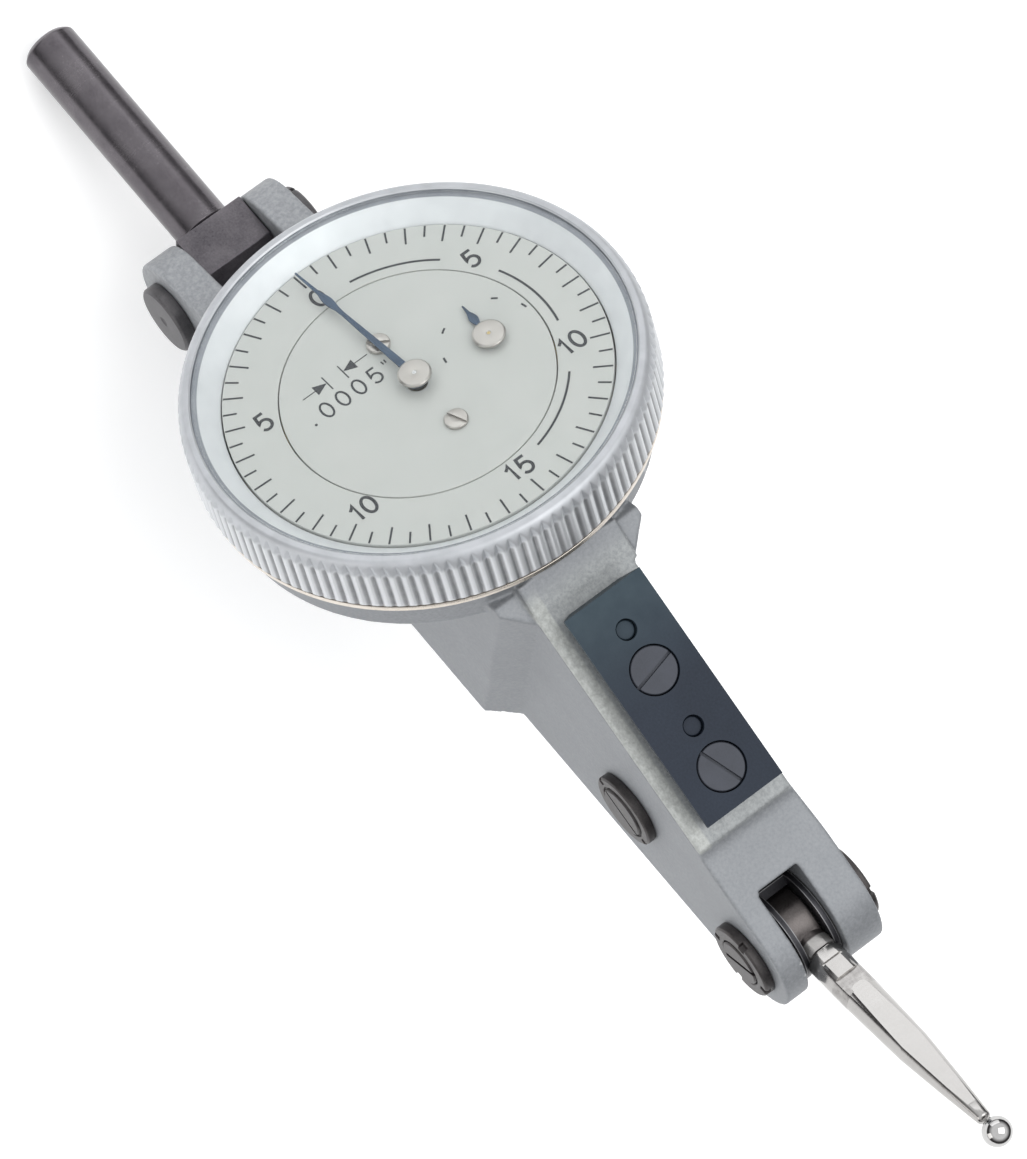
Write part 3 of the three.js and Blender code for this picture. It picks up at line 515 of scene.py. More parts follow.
M_YOKE = metal("yoke_oxide_steel", (0.015, 0.015, 0.018), (0.04, 0.04, 0.046), 0.6, 0.3, 0.42, patch=500, grain=8000, bump=0.1, depth=0.000006)
M_POINT = metal("ground_steel", (0.375, 0.365, 0.355), (0.44, 0.43, 0.42), 1.0, 0.14, 0.2, patch=700, grain=9000, bump=0.02, depth=0.000003,
                centre=CC, axis=CXA, lines=6000, lines_mix=0.3)
M_BALL = metal("polished_carbide", (0.44, 0.435, 0.43), (0.54, 0.535, 0.53), 1.0, 0.04, 0.09, patch=900, grain=9000, bump=0.02, depth=0.000002)
M_BRASS = metal("movement_brass", (0.42, 0.32, 0.15), (0.60, 0.48, 0.25), 0.95, 0.24, 0.36, patch=500, grain=8000, bump=0.1, depth=0.000006)
M_SEAT = metal("seat_brass", (0.58, 0.525, 0.46), (0.72, 0.67, 0.61), 0.9, 0.25, 0.35, patch=500, grain=8000, bump=0.1, depth=0.000006)
M_STEEL = metal("arbor_steel", (0.48, 0.48, 0.48), (0.62, 0.62, 0.62), 1.0, 0.2, 0.3, patch=700, grain=9000, bump=0.08, depth=0.000004)


def tint(m, fac, light):
    """Lays a second tone over a material's colour where fac is 1."""
    nt = m.node_tree
    bs = next(n for n in nt.nodes if n.type == "BSDF_PRINCIPLED")
    src = bs.inputs["Base Color"].links[0].from_socket
    nt.links.new(mixc(nt, fac, src, light), bs.inputs["Base Color"])


def span(nt, v, lo, hi):
    """0 below lo, 1 above hi (either may be the larger)."""
    mr = nt.nodes.new("ShaderNodeMapRange")
    mr.interpolation_type = "SMOOTHSTEP"
    mr.clamp = True
    mr.inputs["From Min"].default_value, mr.inputs["From Max"].default_value = lo * 0.001, hi * 0.001
    nt.links.new(v, mr.inputs["Value"])
    return mr.outputs[0]


def abs_span(nt, v, lo, hi):
    return span(nt, maths(nt, "ABSOLUTE", v), lo, hi)


def split(nt, v):
    sp = nt.nodes.new("ShaderNodeSeparateXYZ")
    nt.links.new(v, sp.inputs[0])
    return sp.outputs


def turned(nt, centre, axis):
    """Plain position, and the radius and height about an axis."""
    v, _ = coords(nt)
    s = nd(nt, "ShaderNodeVectorMath", operation="SUBTRACT")
    nt.links.new(v, s.inputs[0])
    s.inputs[1].default_value = [c * 0.001 for c in centre]
    d = nd(nt, "ShaderNodeVectorMath", operation="DOT_PRODUCT")
    nt.links.new(s.outputs[0], d.inputs[0])
    d.inputs[1].default_value = axis
    sc = nd(nt, "ShaderNodeVectorMath", operation="SCALE")
    sc.inputs[0].default_value = axis
    nt.links.new(d.outputs["Value"], sc.inputs["Scale"])
    p = nd(nt, "ShaderNodeVectorMath", operation="SUBTRACT")
    nt.links.new(s.outputs[0], p.inputs[0])
    nt.links.new(sc.outputs[0], p.inputs[1])
    ln = nd(nt, "ShaderNodeVectorMath", operation="LENGTH")
    nt.links.new(p.outputs[0], ln.inputs[0])
    return v, ln.outputs["Value"], d.outputs["Value"]


def details():
    # the neck's upper face is blasted coarser, and painted a little lighter: partly its own finish, partly a painted
    # highlight where the light falls on the top face
    nt = M_CAST.node_tree
    v, _ = coords(nt)
    x, y, z = split(nt, v)
    up = maths(nt, "MULTIPLY", span(nt, z, -2.4, -2.15), span(nt, x, -10.9, -9.2))
    tint(M_CAST, maths(nt, "MULTIPLY", up, 0.75), ramp(nt, noise(nt, v, 4200.0, 2.0, 0.7), [(0.34, (0.27, 0.283, 0.286)), (0.66, (0.39, 0.405, 0.405))]))
    # painted highlight: the strip beside the rail is lightened further to fill the shadow the rail casts on it
    left = maths(nt, "MULTIPLY", up, span(nt, y, -2.9, -3.1))
    tint(M_CAST, maths(nt, "MULTIPLY", left, 0.8), ramp(nt, noise(nt, v, 3600.0, 2.0, 0.7), [(0.34, (0.36, 0.37, 0.355)), (0.66, (0.52, 0.535, 0.515))]))
    # a thin line along the neck's edge, where the face was finished
    line = maths(nt, "MULTIPLY", maths(nt, "MULTIPLY", span(nt, z, -2.5, -2.42), span(nt, z, -2.3, -2.38)), maths(nt, "MULTIPLY", span(nt, x, -10.9, -10.4), span(nt, x, 9.3, 8.9)))
    line = maths(nt, "MULTIPLY", line, maths(nt, "MULTIPLY", span(nt, y, -3.75, -3.85), span(nt, y, -4.0, -3.97)))
    ears = span(nt, x, -26.5, -30.0)
    tint(M_CAST, maths(nt, "MULTIPLY", ears, 0.6), ramp(nt, noise(nt, v, 3000.0, 2.0, 0.7), [(0.34, (0.27, 0.28, 0.295)), (0.66, (0.41, 0.42, 0.435))]))
    tint(M_CAST, maths(nt, "MULTIPLY", line, 0.8), ramp(nt, noise(nt, v, 2600.0, 2.0, 0.7), [(0.4, (0.08, 0.082, 0.088)), (0.62, (0.24, 0.245, 0.25))]))
    # painted shade in the bottoms of the bezel's flutes, darker there
    nt = M_BEZEL.node_tree
    v, r, h = turned(nt, DC, DN)
    low = maths(nt, "MULTIPLY", span(nt, r, 15.54, 15.42), span(nt, h, 0.35, 0.0))
    tint(M_BEZEL, maths(nt, "MULTIPLY", low, 0.85), ramp(nt, noise(nt, v, 900.0, 3.0), [(0.3, (0.22, 0.225, 0.235)), (0.7, (0.34, 0.345, 0.355))]))
    # the sloped ring inside is paler and duller
    cone = maths(nt, "MULTIPLY", span(nt, r, 14.27, 14.22), span(nt, h, -0.6, -0.4))
    tint(M_BEZEL, cone, ramp(nt, noise(nt, v, 700.0, 4.0), [(0.3, (0.74, 0.755, 0.775)), (0.7, (0.81, 0.825, 0.845))]))
    # the shoulder outside it is a little darker, and the crystal's seat is painted dark: painted shade for the shadow
    # in the groove under the crystal's edge
    top = maths(nt, "MULTIPLY", span(nt, r, 14.6, 14.7), span(nt, h, 0.1, 0.5))
    tint(M_BEZEL, top, ramp(nt, noise(nt, v, 700.0, 4.0), [(0.3, (0.43, 0.445, 0.465)), (0.7, (0.51, 0.525, 0.55))]))
    seat = maths(nt, "MULTIPLY", span(nt, r, 14.2, 14.26), span(nt, h, 1.4, 1.3))
    seat = maths(nt, "MULTIPLY", seat, maths(nt, "MULTIPLY", span(nt, h, 0.9, 1.0), span(nt, r, 14.8, 14.68)))
    tint(M_BEZEL, seat, ramp(nt, noise(nt, v, 700.0, 4.0), [(0.3, (0.25, 0.265, 0.295)), (0.7, (0.32, 0.335, 0.365))]))
    bs = next(n for n in nt.nodes if n.type == "BSDF_PRINCIPLED")
    nt.links.new(ramp(nt, cone, [(0.0, grey(0.6)), (1.0, grey(0.3))]), bs.inputs["Metallic"])
    # the contact's root is ground bright where it leaves the hub
    nt = M_HUB.node_tree
    v, r, h = turned(nt, CC, CXA)
    tint(M_HUB, span(nt, h, 2.42, 2.56), ramp(nt, noise(nt, v, 900.0, 3.0), [(0.3, (0.38, 0.37, 0.36)), (0.7, (0.46, 0.45, 0.44))]))
    # painted highlight: bright lines along the rims of the yoke's cheeks
    nt = M_YOKE.node_tree
    v, r, h = turned(nt, CC, (0, 1, 0))
    a = maths(nt, "ABSOLUTE", h)
    edge = maths(nt, "MULTIPLY", maths(nt, "MAXIMUM", span(nt, a, 1.38, 1.42), span(nt, a, 1.12, 1.08)), span(nt, r, 3.31, 3.35))
    tint(M_YOKE, edge, ramp(nt, noise(nt, v, 900.0, 3.0), [(0.3, (0.13, 0.13, 0.135)), (0.7, (0.27, 0.27, 0.28))]))
    # the rail's plate is painted a shade greener and paler at its rear: a painted reflection of the lamp's sheen,
    # fading towards the front
    nt = M_BLACK.node_tree
    v, _ = coords(nt)
    x, y, z = split(nt, v)
    tint(M_BLACK, maths(nt, "MULTIPLY", span(nt, x, 0.5, -9.5), 0.8), ramp(nt, noise(nt, v, 500.0, 3.0), [(0.3, (0.03, 0.05, 0.064)), (0.7, (0.046, 0.07, 0.086))]))
    # a duller recess between the contact's spanner flat and its long flat
    nt = M_POINT.node_tree
    v, r, h = turned(nt, CC, CXA)
    up = nd(nt, "ShaderNodeVectorMath", operation="DOT_PRODUCT")
    nt.links.new(v, up.inputs[0])
    up.inputs[1].default_value = CNV
    off = abs_span(nt, maths(nt, "SUBTRACT", up.outputs["Value"], sum(a * b for a, b in zip(CC, CNV)) * 0.001), 1.09, 1.04)
    gap = maths(nt, "MULTIPLY", maths(nt, "MULTIPLY", span(nt, h, 5.88, 5.94), span(nt, h, 7.5, 7.42)), maths(nt, "MULTIPLY", off, 0.8))
    tint(M_POINT, gap, ramp(nt, noise(nt, v, 2500.0, 3.0), [(0.3, (0.22, 0.21, 0.205)), (0.7, (0.38, 0.37, 0.36))]))


details()


def glass():
    """A thin clear moulding: see-through, with a faint reflection."""
    m, nt, bs, out = new_mat("crystal_glass")
    nt.nodes.remove(bs)
    v, t = coords(nt)
    tr = nt.nodes.new("ShaderNodeBsdfTransparent")
    nt.links.new(ramp(nt, noise(nt, v, 500, 3.0), [(0.3, (0.975, 0.985, 0.983)), (0.7, (0.99, 0.996, 0.995))]), tr.inputs["Color"])
    gl = nt.nodes.new("ShaderNodeBsdfGlossy")
    gl.inputs["Color"].default_value = (1, 1, 1, 1)
    nt.links.new(ramp(nt, noise(nt, v, 2500, 3.0), [(0.35, grey(0.01)), (0.75, grey(0.04))]), gl.inputs["Roughness"])
    fr = nt.nodes.new("ShaderNodeFresnel")
    fr.inputs["IOR"].default_value = 1.4
    mx = nt.nodes.new("ShaderNodeMixShader")
    nt.links.new(maths(nt, "MULTIPLY", fr.outputs[0], 0.35), mx.inputs[0])
    nt.links.new(tr.outputs[0], mx.inputs[1])
    nt.links.new(gl.outputs[0], mx.inputs[2])
    nt.links.new(mx.outputs[0], out.inputs[0])
    return m


M_GLASS = glass()

# ------------------------------------------------------------------ housing
def build_housing():
    cup = lathe([(0, CUP_BOTTOM), (13.9, CUP_BOTTOM), (14.4, -6.45), (CUP_R, -3.55), (13.75, -3.55), (13.75, -1.3), (0, -1.3)], 144, m=DIAL)
    ears = prism(arc(SWIVEL_P[0], SWIVEL_P[1], SWIVEL_R, 90 + DIAL_TILT, 270 + BODY_SLOPE, 48) + [(-12, zb(-12)), D2R(2, -5.65)], -EAR_HW, EAR_HW)
    FR, FB = (-10.2, -3.4), (-4.5, zb(-4.5))
    fl = math.hypot(FB[0] - FR[0], FB[1] - FR[1])
    fe = ((FB[0] - FR[0]) / fl, (FB[1] - FR[1]) / fl)
    fn = (-fe[1], fe[0])
    CH = BLOCK_HW - NECK_HW
    x1 = FB[0] + fn[0] * CH
    block = prism([D2R(-9, -5.65), (-24, zb(-24)), (x1, zb(x1)), (FR[0] + fn[0] * CH, FR[1] + fn[1] * CH + 0.35), (-11.0, -2.3), D2R(11, -5.8)], -BLOCK_HW, BLOCK_HW)
    mm = Matrix(((fn[0], 0, fe[0], FR[0]), (0, 1, 0, 0), (fn[1], 0, fe[1], FR[1]), (0, 0, 0, 1)))
    wedges = []
    for s in (-1, 1):
        wedges.append(plate([(0, BLOCK_HW * s), (CH + 2, (BLOCK_HW + 0.01) * s), (CH + 2, NECK_HW * s), (CH, NECK_HW * s)], -4, fl + 6, mm))
    # the wedge's outer face stands a little proud, so nothing thin is left on the block's side
    for w in wedges:
        for v in w.vertices:
            if abs(v.co.y) > BLOCK_HW - 0.1:
                v.co.y *= 1.02
    block = cut(block, *wedges)
    neck_p = [(-12.5, -6.2), (-12.0, zb(-12))] + arc(FORK_END[0], FORK_END[1], FORK_R, -90 + BODY_SLOPE, 90, 48) + [(10.35, NOSE_Z), (9.95, NOSE_Z + 0.05), (9.6, NOSE_Z + 0.2), (9.35, NOSE_Z + 0.4), (9.22, RIDGE_Z), (-8.6, RIDGE_Z), (-11.3, RIDGE_Z + 0.6)]
    neck = prism(neck_p, -NECK_HW, NECK_HW)
    # the left upper edge is relieved beside the rail and runs out towards the fork
    rel = [(0, -1.9), (0, -2.0), (0.49, -3.95), (0.9, -3.95), (0.9, -1.9)]
    along = Matrix(((0, 0, 1, 0), (1, 0, 0, 0), (0, 1, 0, 0), (0, 0, 0, 1)))
    neck = cut(neck, plate(rel, 0, 17.4, Matrix.Translation((-8.4, 3.52, 0)) @ along), plate(rel, 0, 8.5, Matrix.Translation((8.98, 3.52, 0)) @ Matrix.Rotation(rad(3.3), 4, "Z") @ along))
    body = join(cup, ears, block, neck)
    well = cyl_z(0, 0, 13.0, -5.7, 1, 96, DIAL)
    keel = prism([D2R(-8, -5.0), (-24.3, zb(-24.3) - 0.3), (-7.7, zb(-7.7) - 0.3), (-11.2, -7.2), D2R(10.2, -5.0)], -4.3, 4.3)
    bore_p = [(-13, zb(-13) + 1.5), (12.2, zb(12.2) + 1.6), (12.2, -4.9), (-13, -4.9)]
    bore = prism([(x, max(z, zb(x) + 1.5)) for x, z in bore_p], -2.65, 2.65)
    seat = box(-24.2, 1.1, -4.9, 4.9, -1, 1.0, in_body(-4.6, zb(-4.6)))
    slot = prism(arc(FORK_P[0], FORK_P[1], 5.42, 90, 270, 48) + [(30, -12.1), (30, -1.4)], CONTACT_Y - 1.75, CONTACT_Y + 1.55)
    window = prism([(10, -10.4), (13.5, -9.4), (13.5, -5.9), (10, -6.6)], CONTACT_Y - 1.15, CONTACT_Y + 1.15)
    clevis = prism(arc(SWIVEL_P[0], SWIVEL_P[1], 5.3, -90 + BODY_SLOPE - 20, 90 + BODY_SLOPE + 30, 40) + [(-60, -12), (-60, -48)], -CLEVIS_HW, CLEVIS_HW)
    holes = [cyl_y(FORK_P[0], FORK_P[1], 1.75, -9, 9), cyl_y(MID_P[0], MID_P[1], 1.35, -9, 9), cyl_y(SWIVEL_P[0], SWIVEL_P[1], 1.3, -9, 9)]
    for x in RAIL_SCREW_X:
        holes.append(cyl_z(x, 0, 0.8, -4.4, 0))
    for x in RAIL_PIN_X:
        holes.append(cyl_z(x, 0, 0.72, -4.2, 0))
    for x in (-25.5, -5.9):
        holes.append(cyl_z(0, 0, 0.55, -0.5, 2.6, 32, in_body(x, zb(x))))
    return cut(body, well, keel, bore, seat, slot, window, clevis, *holes)


HOUSING_VOXEL = 0.125
hs = softened(build_housing(), HOUSING_VOXEL, 4, 0.5)
print("housing faces", len(hs.polygons))
piece(hs, "housing_casting", "housing_body", M_CAST, stands_for=["housing"], sharp=180, weighted=False)

# ------------------------------------------------------------------ bezel
def build_bezel():
    N, PER = 118, 8
    n = N * PER
    RV = BEZEL_R - 0.24                         # bottom of the flutes
    outer = [(15.0, -3.2)] + [(15.0 + 0.55 * math.sin(rad(a)), -3.2 + 0.45 * (1 - math.cos(rad(a)))) for a in (15, 30, 45, 60, 75, 90)]
    w = -2.75
    while w < 0.0:
        outer.append((BEZEL_R, round(w, 4)))
        w += 0.55
    # shoulder: an ellipse from the fluted wall up to the lip
    for k in range(0, 19):
        a = rad(90 * k / 18)
        outer.append((14.98 + (BEZEL_R - 14.98) * math.cos(a), 0.05 + 1.38 * math.sin(a)))
    inner = fillet([(14.98, 1.43), (14.72, 1.5, 0.08), (14.62, 1.38, 0.05), (14.6, 1.1, 0.05), (14.25, 1.1, 0.05), (12.92, -0.18, 0.04), (12.9, -0.75, 0.03), (13.95, -0.76, 0.03), (13.95, -3.2, 0.05), (15.0, -3.2)], 0.05, 3)[1:-1]
    rows = outer + inner
    verts = []
    for r, h in rows:
        for k in range(n):
            ph = (k % PER) / PER
            # a V groove with a narrow flat crest
            d = abs(ph - 0.5) * 2                # 1 at the crest, 0 in the groove
            flute = RV + (BEZEL_R - RV) * min(1.0, d * 1.22)
            rr = min(r, flute) if (r > RV and h < 1.5 and r > 14.99) else r
            a = 2 * math.pi * k / n
            verts.append((rr * math.cos(a), rr * math.sin(a), h))
    faces, R = [], len(rows)
    for i in range(R):
        j = (i + 1) % R
        for k in range(n):
            k2 = (k + 1) % n
            faces.append((i * n + k, i * n + k2, j * n + k2, j * n + k))
    return mesh(verts, faces)


bz = build_bezel()
print("bezel faces", len(bz.polygons))
piece(bz, "bezel_fluted", "bezel_body", M_BEZEL, DIAL, ["bezel"], sharp=24)
piece(lathe(fillet([(13.85, -3.58), (15.4, -3.58), (15.4, -3.22), (13.85, -3.22)], 0.05, 3, True), 144, True), "seat_ring_brass", "housing_body", M_SEAT, DIAL, ["bezel_seat_ring"])
piece(lathe([(0, 1.2), (14.4, 1.2), (14.5, 1.26), (14.5, 1.42), (14.42, 1.5), (13.8, 1.58), (12.0, 1.62), (8.0, 1.67), (4.0, 1.69), (0, 1.7)], 144), "crystal_lens", "bezel_body", M_GLASS, DIAL, ["crystal"])
piece(lathe(fillet([(9.15, -0.55), (12.8, -0.55), (12.8, -0.02), (9.15, -0.02)], 0.04, 3, True), 192, True), "dial_scale_ring", "bezel_body", M_DIAL, DIAL, ["dial_ring"])
disc = cut(cyl_z(0, 0, 9.05, -0.55, -0.02, 192), cyl_z(0, 0, 0.7, -2, 1, 48), cyl_z(COUNTER[0], COUNTER[1], 0.6, -2, 1, 48), cyl_z(SCREW_U, 0, 0.62, -2, 1, 48), cyl_z(-SCREW_U, 0, 0.62, -2, 1, 48))
piece(bevelled(disc, 0.025, 2), "dial_centre_disc", "housing_body", M_DIAL, DIAL, ["dial_disc"])

# ------------------------------------------------------------------ printing on the dial
W0, W1 = -0.02, -0.006


class Ink:
    """Flat strokes, each a thin closed strip just above the enamel."""

    def __init__(self):
        self.v, self.f = [], []

    def poly(self, pts):
        n, b = len(pts), len(self.v)
        self.v += [(x, y, W0 - 0.01) for x, y in pts] + [(x, y, W1) for x, y in pts]
        self.f += [tuple(b + k for k in range(n)), tuple(b + n + k for k in range(n - 1, -1, -1))]
        self.f += [(b + k, b + (k + 1) % n, b + n + (k + 1) % n, b + n + k) for k in range(n)]

    def line(self, pts, w, closed=False):
        """A stroke of width w along pts, with mitred joints and square ends."""
        P = [Vector(p) for p in pts]
        n = len(P)
        L, R = [], []
        for i, p in enumerate(P):
            a = P[i - 1] if (i > 0 or closed) else None
            b = P[(i + 1) % n] if (i < n - 1 or closed) else None
            d1 = (p - a).normalized() if a is not None else None
            d2 = (b - p).normalized() if b is not None else None
            d = (d1 or d2) + (d2 or d1)
            d.normalize()
            nn = Vector((-d.y, d.x))
            k = 1.0
            if d1 is not None and d2 is not None:
                k = 1 / max(0.5, d.dot(d1))
            L.append(p + nn * w / 2 * k)
            R.append(p - nn * w / 2 * k)
        m = n if closed else n - 1
        for i in range(m):
            j = (i + 1) % n
            b = len(self.v)
            q = [L[i], L[j], R[j], R[i]]
            self.v += [(c.x, c.y, W0 - 0.01) for c in q] + [(c.x, c.y, W1) for c in q]
            self.f += [(b, b + 1, b + 2, b + 3), (b + 7, b + 6, b + 5, b + 4), (b, b + 4, b + 5, b + 1), (b + 2, b + 6, b + 7, b + 3)]
            if not closed and i == 0:
                self.f.append((b + 3, b + 7, b + 4, b))
            if not closed and i == m - 1:
                self.f.append((b + 1, b + 5, b + 6, b + 2))

    def mesh(self):
        return mesh(self.v, self.f)


def glyph(c):
    """Strokes of a figure in a box one unit high, about 0.6 wide, centred on 0, 0."""
    if c == "0":
        return [([(0.29 * math.cos(t) * (1.0 if abs(math.sin(t)) < 2 else 1), 0.5 * math.sin(t)) for t in [2 * math.pi * k / 32 for k in range(32)]], True)]
    if c == "1":
        return [([(-0.2, 0.26), (-0.02, 0.4), (0.04, 0.5), (0.04, -0.5)], False)]
    if c == "5":
        bowl = [(0.0 + 0.3 * math.cos(rad(a)), -0.19 + 0.315 * math.sin(rad(a))) for a in range(140, -151, -15)]
        return [([(0.25, 0.49), (-0.17, 0.49), (-0.23, 0.02)] + bowl, False)]
    return []


def text(ink, s, u, v, size, w, pitch):
    """Figures read along +v with their tops towards -u."""
    x0 = v - pitch * (len(s) - 1) / 2
    for i, c in enumerate(s):
        for pts, closed in glyph(c):
            ink.line([(u - gy * size, x0 + i * pitch + gx * size) for gx, gy in pts], w, closed)


A0 = 183.1
scale = Ink()
for k in range(60):
    a = rad(A0 - 6 * k)
    r0 = 11.42 if k % 2 == 0 else 11.84
    scale.line([(r0 * math.cos(a), r0 * math.sin(a)), (12.74 * math.cos(a), 12.74 * math.sin(a))], 0.135)
for k, s in enumerate(("0", "5", "10", "15", "10", "5")):
    a = rad(A0 - 60 * k)
    text(scale, s, 10.2 * math.cos(a), 10.2 * math.sin(a), 1.38, 0.22, 0.95)
for a0, a1 in ((13, 48.5), (72.5, 108), (133, 168)):
    scale.line([(9.9 * math.cos(rad(A0 - a)), 9.9 * math.sin(rad(A0 - a))) for a in [a0 + (a1 - a0) * i / 30 for i in range(31)]], 0.16)
piece(scale.mesh(), "dial_scale_print", "bezel_body", M_INK, DIAL, sharp=30, weighted=False)

centre = Ink()
text(centre, "000", -2.45, -4.23, 1.25, 0.15, 1.3)
text(centre, "5", -2.45, -1.66, 1.25, 0.15, 1.0)
centre.poly([(-1.97 + 0.1 * math.cos(rad(a)), -6.75 + 0.1 * math.sin(rad(a))) for a in range(0, 360, 30)])
for dv in (-0.12, 0.12):
    centre.line([(-3.06, -0.6 + dv), (-2.76, -0.6 + dv * 0.8)], 0.1)
# two arrows that close on a pair of bars: one division
centre.line([(-4.2, -6.2), (-4.2, -5.1)], 0.07)
centre.poly([(-4.2, -4.28), (-4.62, -5.2), (-3.78, -5.2)])
centre.line([(-4.82, -4.24), (-3.52, -4.24)], 0.085)
centre.line([(-4.82, -2.96), (-3.52, -2.96)], 0.085)
centre.poly([(-4.2, -2.92), (-4.62, -2.02), (-3.78, -2.02)])
centre.line([(-4.2, -2.1), (-4.2, -1.0)], 0.07)
for a in (100.5, 138.4, 214, 257.5):
    centre.line([(COUNTER[0] + 3.25 * math.cos(rad(a + d)), COUNTER[1] + 3.25 * math.sin(rad(a + d))) for d in (-4, -2, 0, 2, 4)], 0.14)
piece(centre.mesh(), "dial_centre_print", "housing_body", M_INK, DIAL, sharp=30, weighted=False)

# ------------------------------------------------------------------ hands, caps, dial screws
R31 = Matrix.Rotation(rad(3.1), 4, "Z")


def hand_shape(pts, hub, hole, z0, z1):
    h = join(plate(pts, z0, z1), cyl_z(0, 0, hub, z0, z1, 64))
    return bevelled(cut(h, cyl_z(0, 0, hole, -1, 2, 40)), 0.022, 2, 30)


main_pts = [(0.95, 0.3), (-2.2, 0.26), (-5.0, 0.2), (-7.4, 0.14), (-8.0, 0.17), (-8.45, 0.26), (-8.9, 0.31), (-9.35, 0.26), (-9.9, 0.13), (-12.35, 0.06)]
piece(hand_shape(main_pts + [(x, -y) for x, y in main_pts[::-1]], 1.0, 0.38, 0.68, 0.8), "main_hand_blued", "pointer", M_BLUED, DIAL @ R31, ["main_hand"], sharp=30)
cnt_pts = [(0.5, 0.2), (-1.15, 0.15), (-1.4, 0.18), (-1.65, 0.28), (-1.9, 0.31), (-2.15, 0.25), (-2.5, 0.12), (-3.2, 0.05)]
CT = Matrix.Translation((COUNTER[0], COUNTER[1], 0))
piece(hand_shape(cnt_pts + [(x, -y) for x, y in cnt_pts[::-1]], 0.85, 0.36, 0.2, 0.3), "counter_hand_blued", "counter", M_BLUED, DIAL @ CT @ Matrix.Rotation(rad(-3), 4, "Z"), ["counter_hand"], sharp=30)


def cap_mesh(z0, z1, hole):
    prof = fillet([(0, z0 + 0.12), (hole, z0 + 0.12, 0.0), (hole, z0, 0.0), (1.0, z0, 0.03), (1.12, z0 + 0.07, 0.04), (1.12, z1 - 0.08, 0.05), (1.0, z1 - 0.005, 0.05), (0.5, z1 + 0.0, 0.1), (0.17, z1 - 0.005, 0.03), (0.09, z1 - 0.06, 0.03), (0, z1 - 0.065)], 0.03, 3)
    return lathe(prof, 96)


piece(cap_mesh(0.82, 1.12, 0.38), "hand_cap_nickel", "pointer", M_NICKEL, DIAL, ["hand_cap"])
piece(cap_mesh(0.34, 0.64, 0.36), "counter_cap_nickel", "counter", M_NICKEL, DIAL @ CT, ["counter_cap"])


def screw_head(R, z0, z1, slot_w, slot_d, edge=0.08, n=72, shank=None, dome=0.0):
    """A slotted head with a rounded edge, its shank below."""
    prof = [(0, z0 - (shank[1] if shank else 0))]
    if shank:
        prof += [(shank[0] * 0.7, z0 - shank[1]), (shank[0], z0 - shank[1] + shank[0] * 0.3), (shank[0], z0)]
    prof += [(R - 0.03, z0, 0.0), (R, z0 + 0.03, 0.0), (R, z1 - edge, edge), (R - edge, z1, edge), (R * 0.5, z1 + dome), (0, z1 + dome)]
    me = lathe(fillet(prof, 0.04, 3), n)
    if slot_w:
        me = cut(me, box(-R - 1, R + 1, -slot_w / 2, slot_w / 2, z1 - slot_d, z1 + 1))
        me = bevelled(me, 0.025, 2, 40)
    return me


for i, u in enumerate((-SCREW_U, SCREW_U)):
    me = screw_head(0.8, 0.0, 0.28, 0.2, 0.16, 0.06, 64, (0.5, 2.1), 0.02)
    piece(me, ("dial_screw_rear_nickel", "dial_screw_front_nickel")[i], "housing_body", M_NICKEL, DIAL @ Matrix.Translation((u, 0, 0)) @ Matrix.Rotation((0.9, 0.35)[i], 4, "Z"), [("dial_screw_rear", "dial_screw_front")[i]], sharp=35)

# ------------------------------------------------------------------ dovetail rail with its screws and pins
rp = [(-RAIL_HW, 0), (-RAIL_HW, -0.25), (-2.05, -1.95), (-2.05, RIDGE_Z + 0.03), (2.05, RIDGE_Z + 0.03), (2.05, -1.95), (RAIL_HW, -0.25), (RAIL_HW, 0)]
to_x = Matrix(((0, 0, 1, -RAIL_HL), (1, 0, 0, 0), (0, 1, 0, 0), (0, 0, 0, 1)))
rail = plate(rp, 0, 2 * RAIL_HL, to_x)
for x in RAIL_SCREW_X:
    rail = cut(rail, cyl_z(x, 0, 1.68, -1.15, 1, 96), cyl_z(x, 0, 0.95, -4, 1, 48))
for x in RAIL_PIN_X:
    rail = cut(rail, cyl_z(x, 0, 0.72, -4, 1, 64))
piece(bevelled(rail, 0.06, 3, 30), "dovetail_rail_black", "housing_body", M_BLACK, stands_for=["dovetail_rail"], sharp=35)
for i, x in enumerate(RAIL_SCREW_X):
    me = screw_head(1.6, -1.1, -0.06, 0.22, 0.22, 0.07, 96, (0.75, 3.1))
    piece(me, ("dovetail_screw_rear_oxide", "dovetail_screw_front_oxide")[i], "housing_body", M_SCREW, Matrix.Translation((x, 0, 0)) @ Matrix.Rotation((1.81, 0.38)[i], 4, "Z"), [("dovetail_screw_rear", "dovetail_screw_front")[i]], sharp=35)
for i, x in enumerate(RAIL_PIN_X):
    me = lathe(fillet([(0, -4.0), (0.6, -4.0, 0.08), (0.68, -3.9, 0.05), (0.68, -0.42, 0.1), (0.58, -0.32, 0.06), (0, -0.3)], 0.05, 3), 64)
    piece(me, ("dowel_pin_rear_black", "dowel_pin_front_black")[i], "housing_body", M_BLACK, Matrix.Translation((x, 0, 0)), [("dowel_pin_rear", "dowel_pin_front")[i]])

# ------------------------------------------------------------------ side bearings
def ring_nut(r_in, r_out, z0, z1, notches, w, depth, n=96, edge=0.12, ph=0.0):
    me = lathe(fillet([(r_in, z0), (r_out, z0, 0.04), (r_out, z1 - edge, edge), (r_out - edge, z1, edge), (r_in + 0.06, z1, 0.03), (r_in, z1 - 0.06, 0.03)], 0.04, 3, True), n, True)
    bs = [box(r_in + 0.35, r_out + 1, -w / 2, w / 2, z1 - depth, z1 + 1, Matrix.Rotation(ph + k * 2 * math.pi / notches, 4, "Z")) for k in range(notches)]
    if bs:
        me = bevelled(cut(me, *bs), 0.03, 2, 40)
    return me


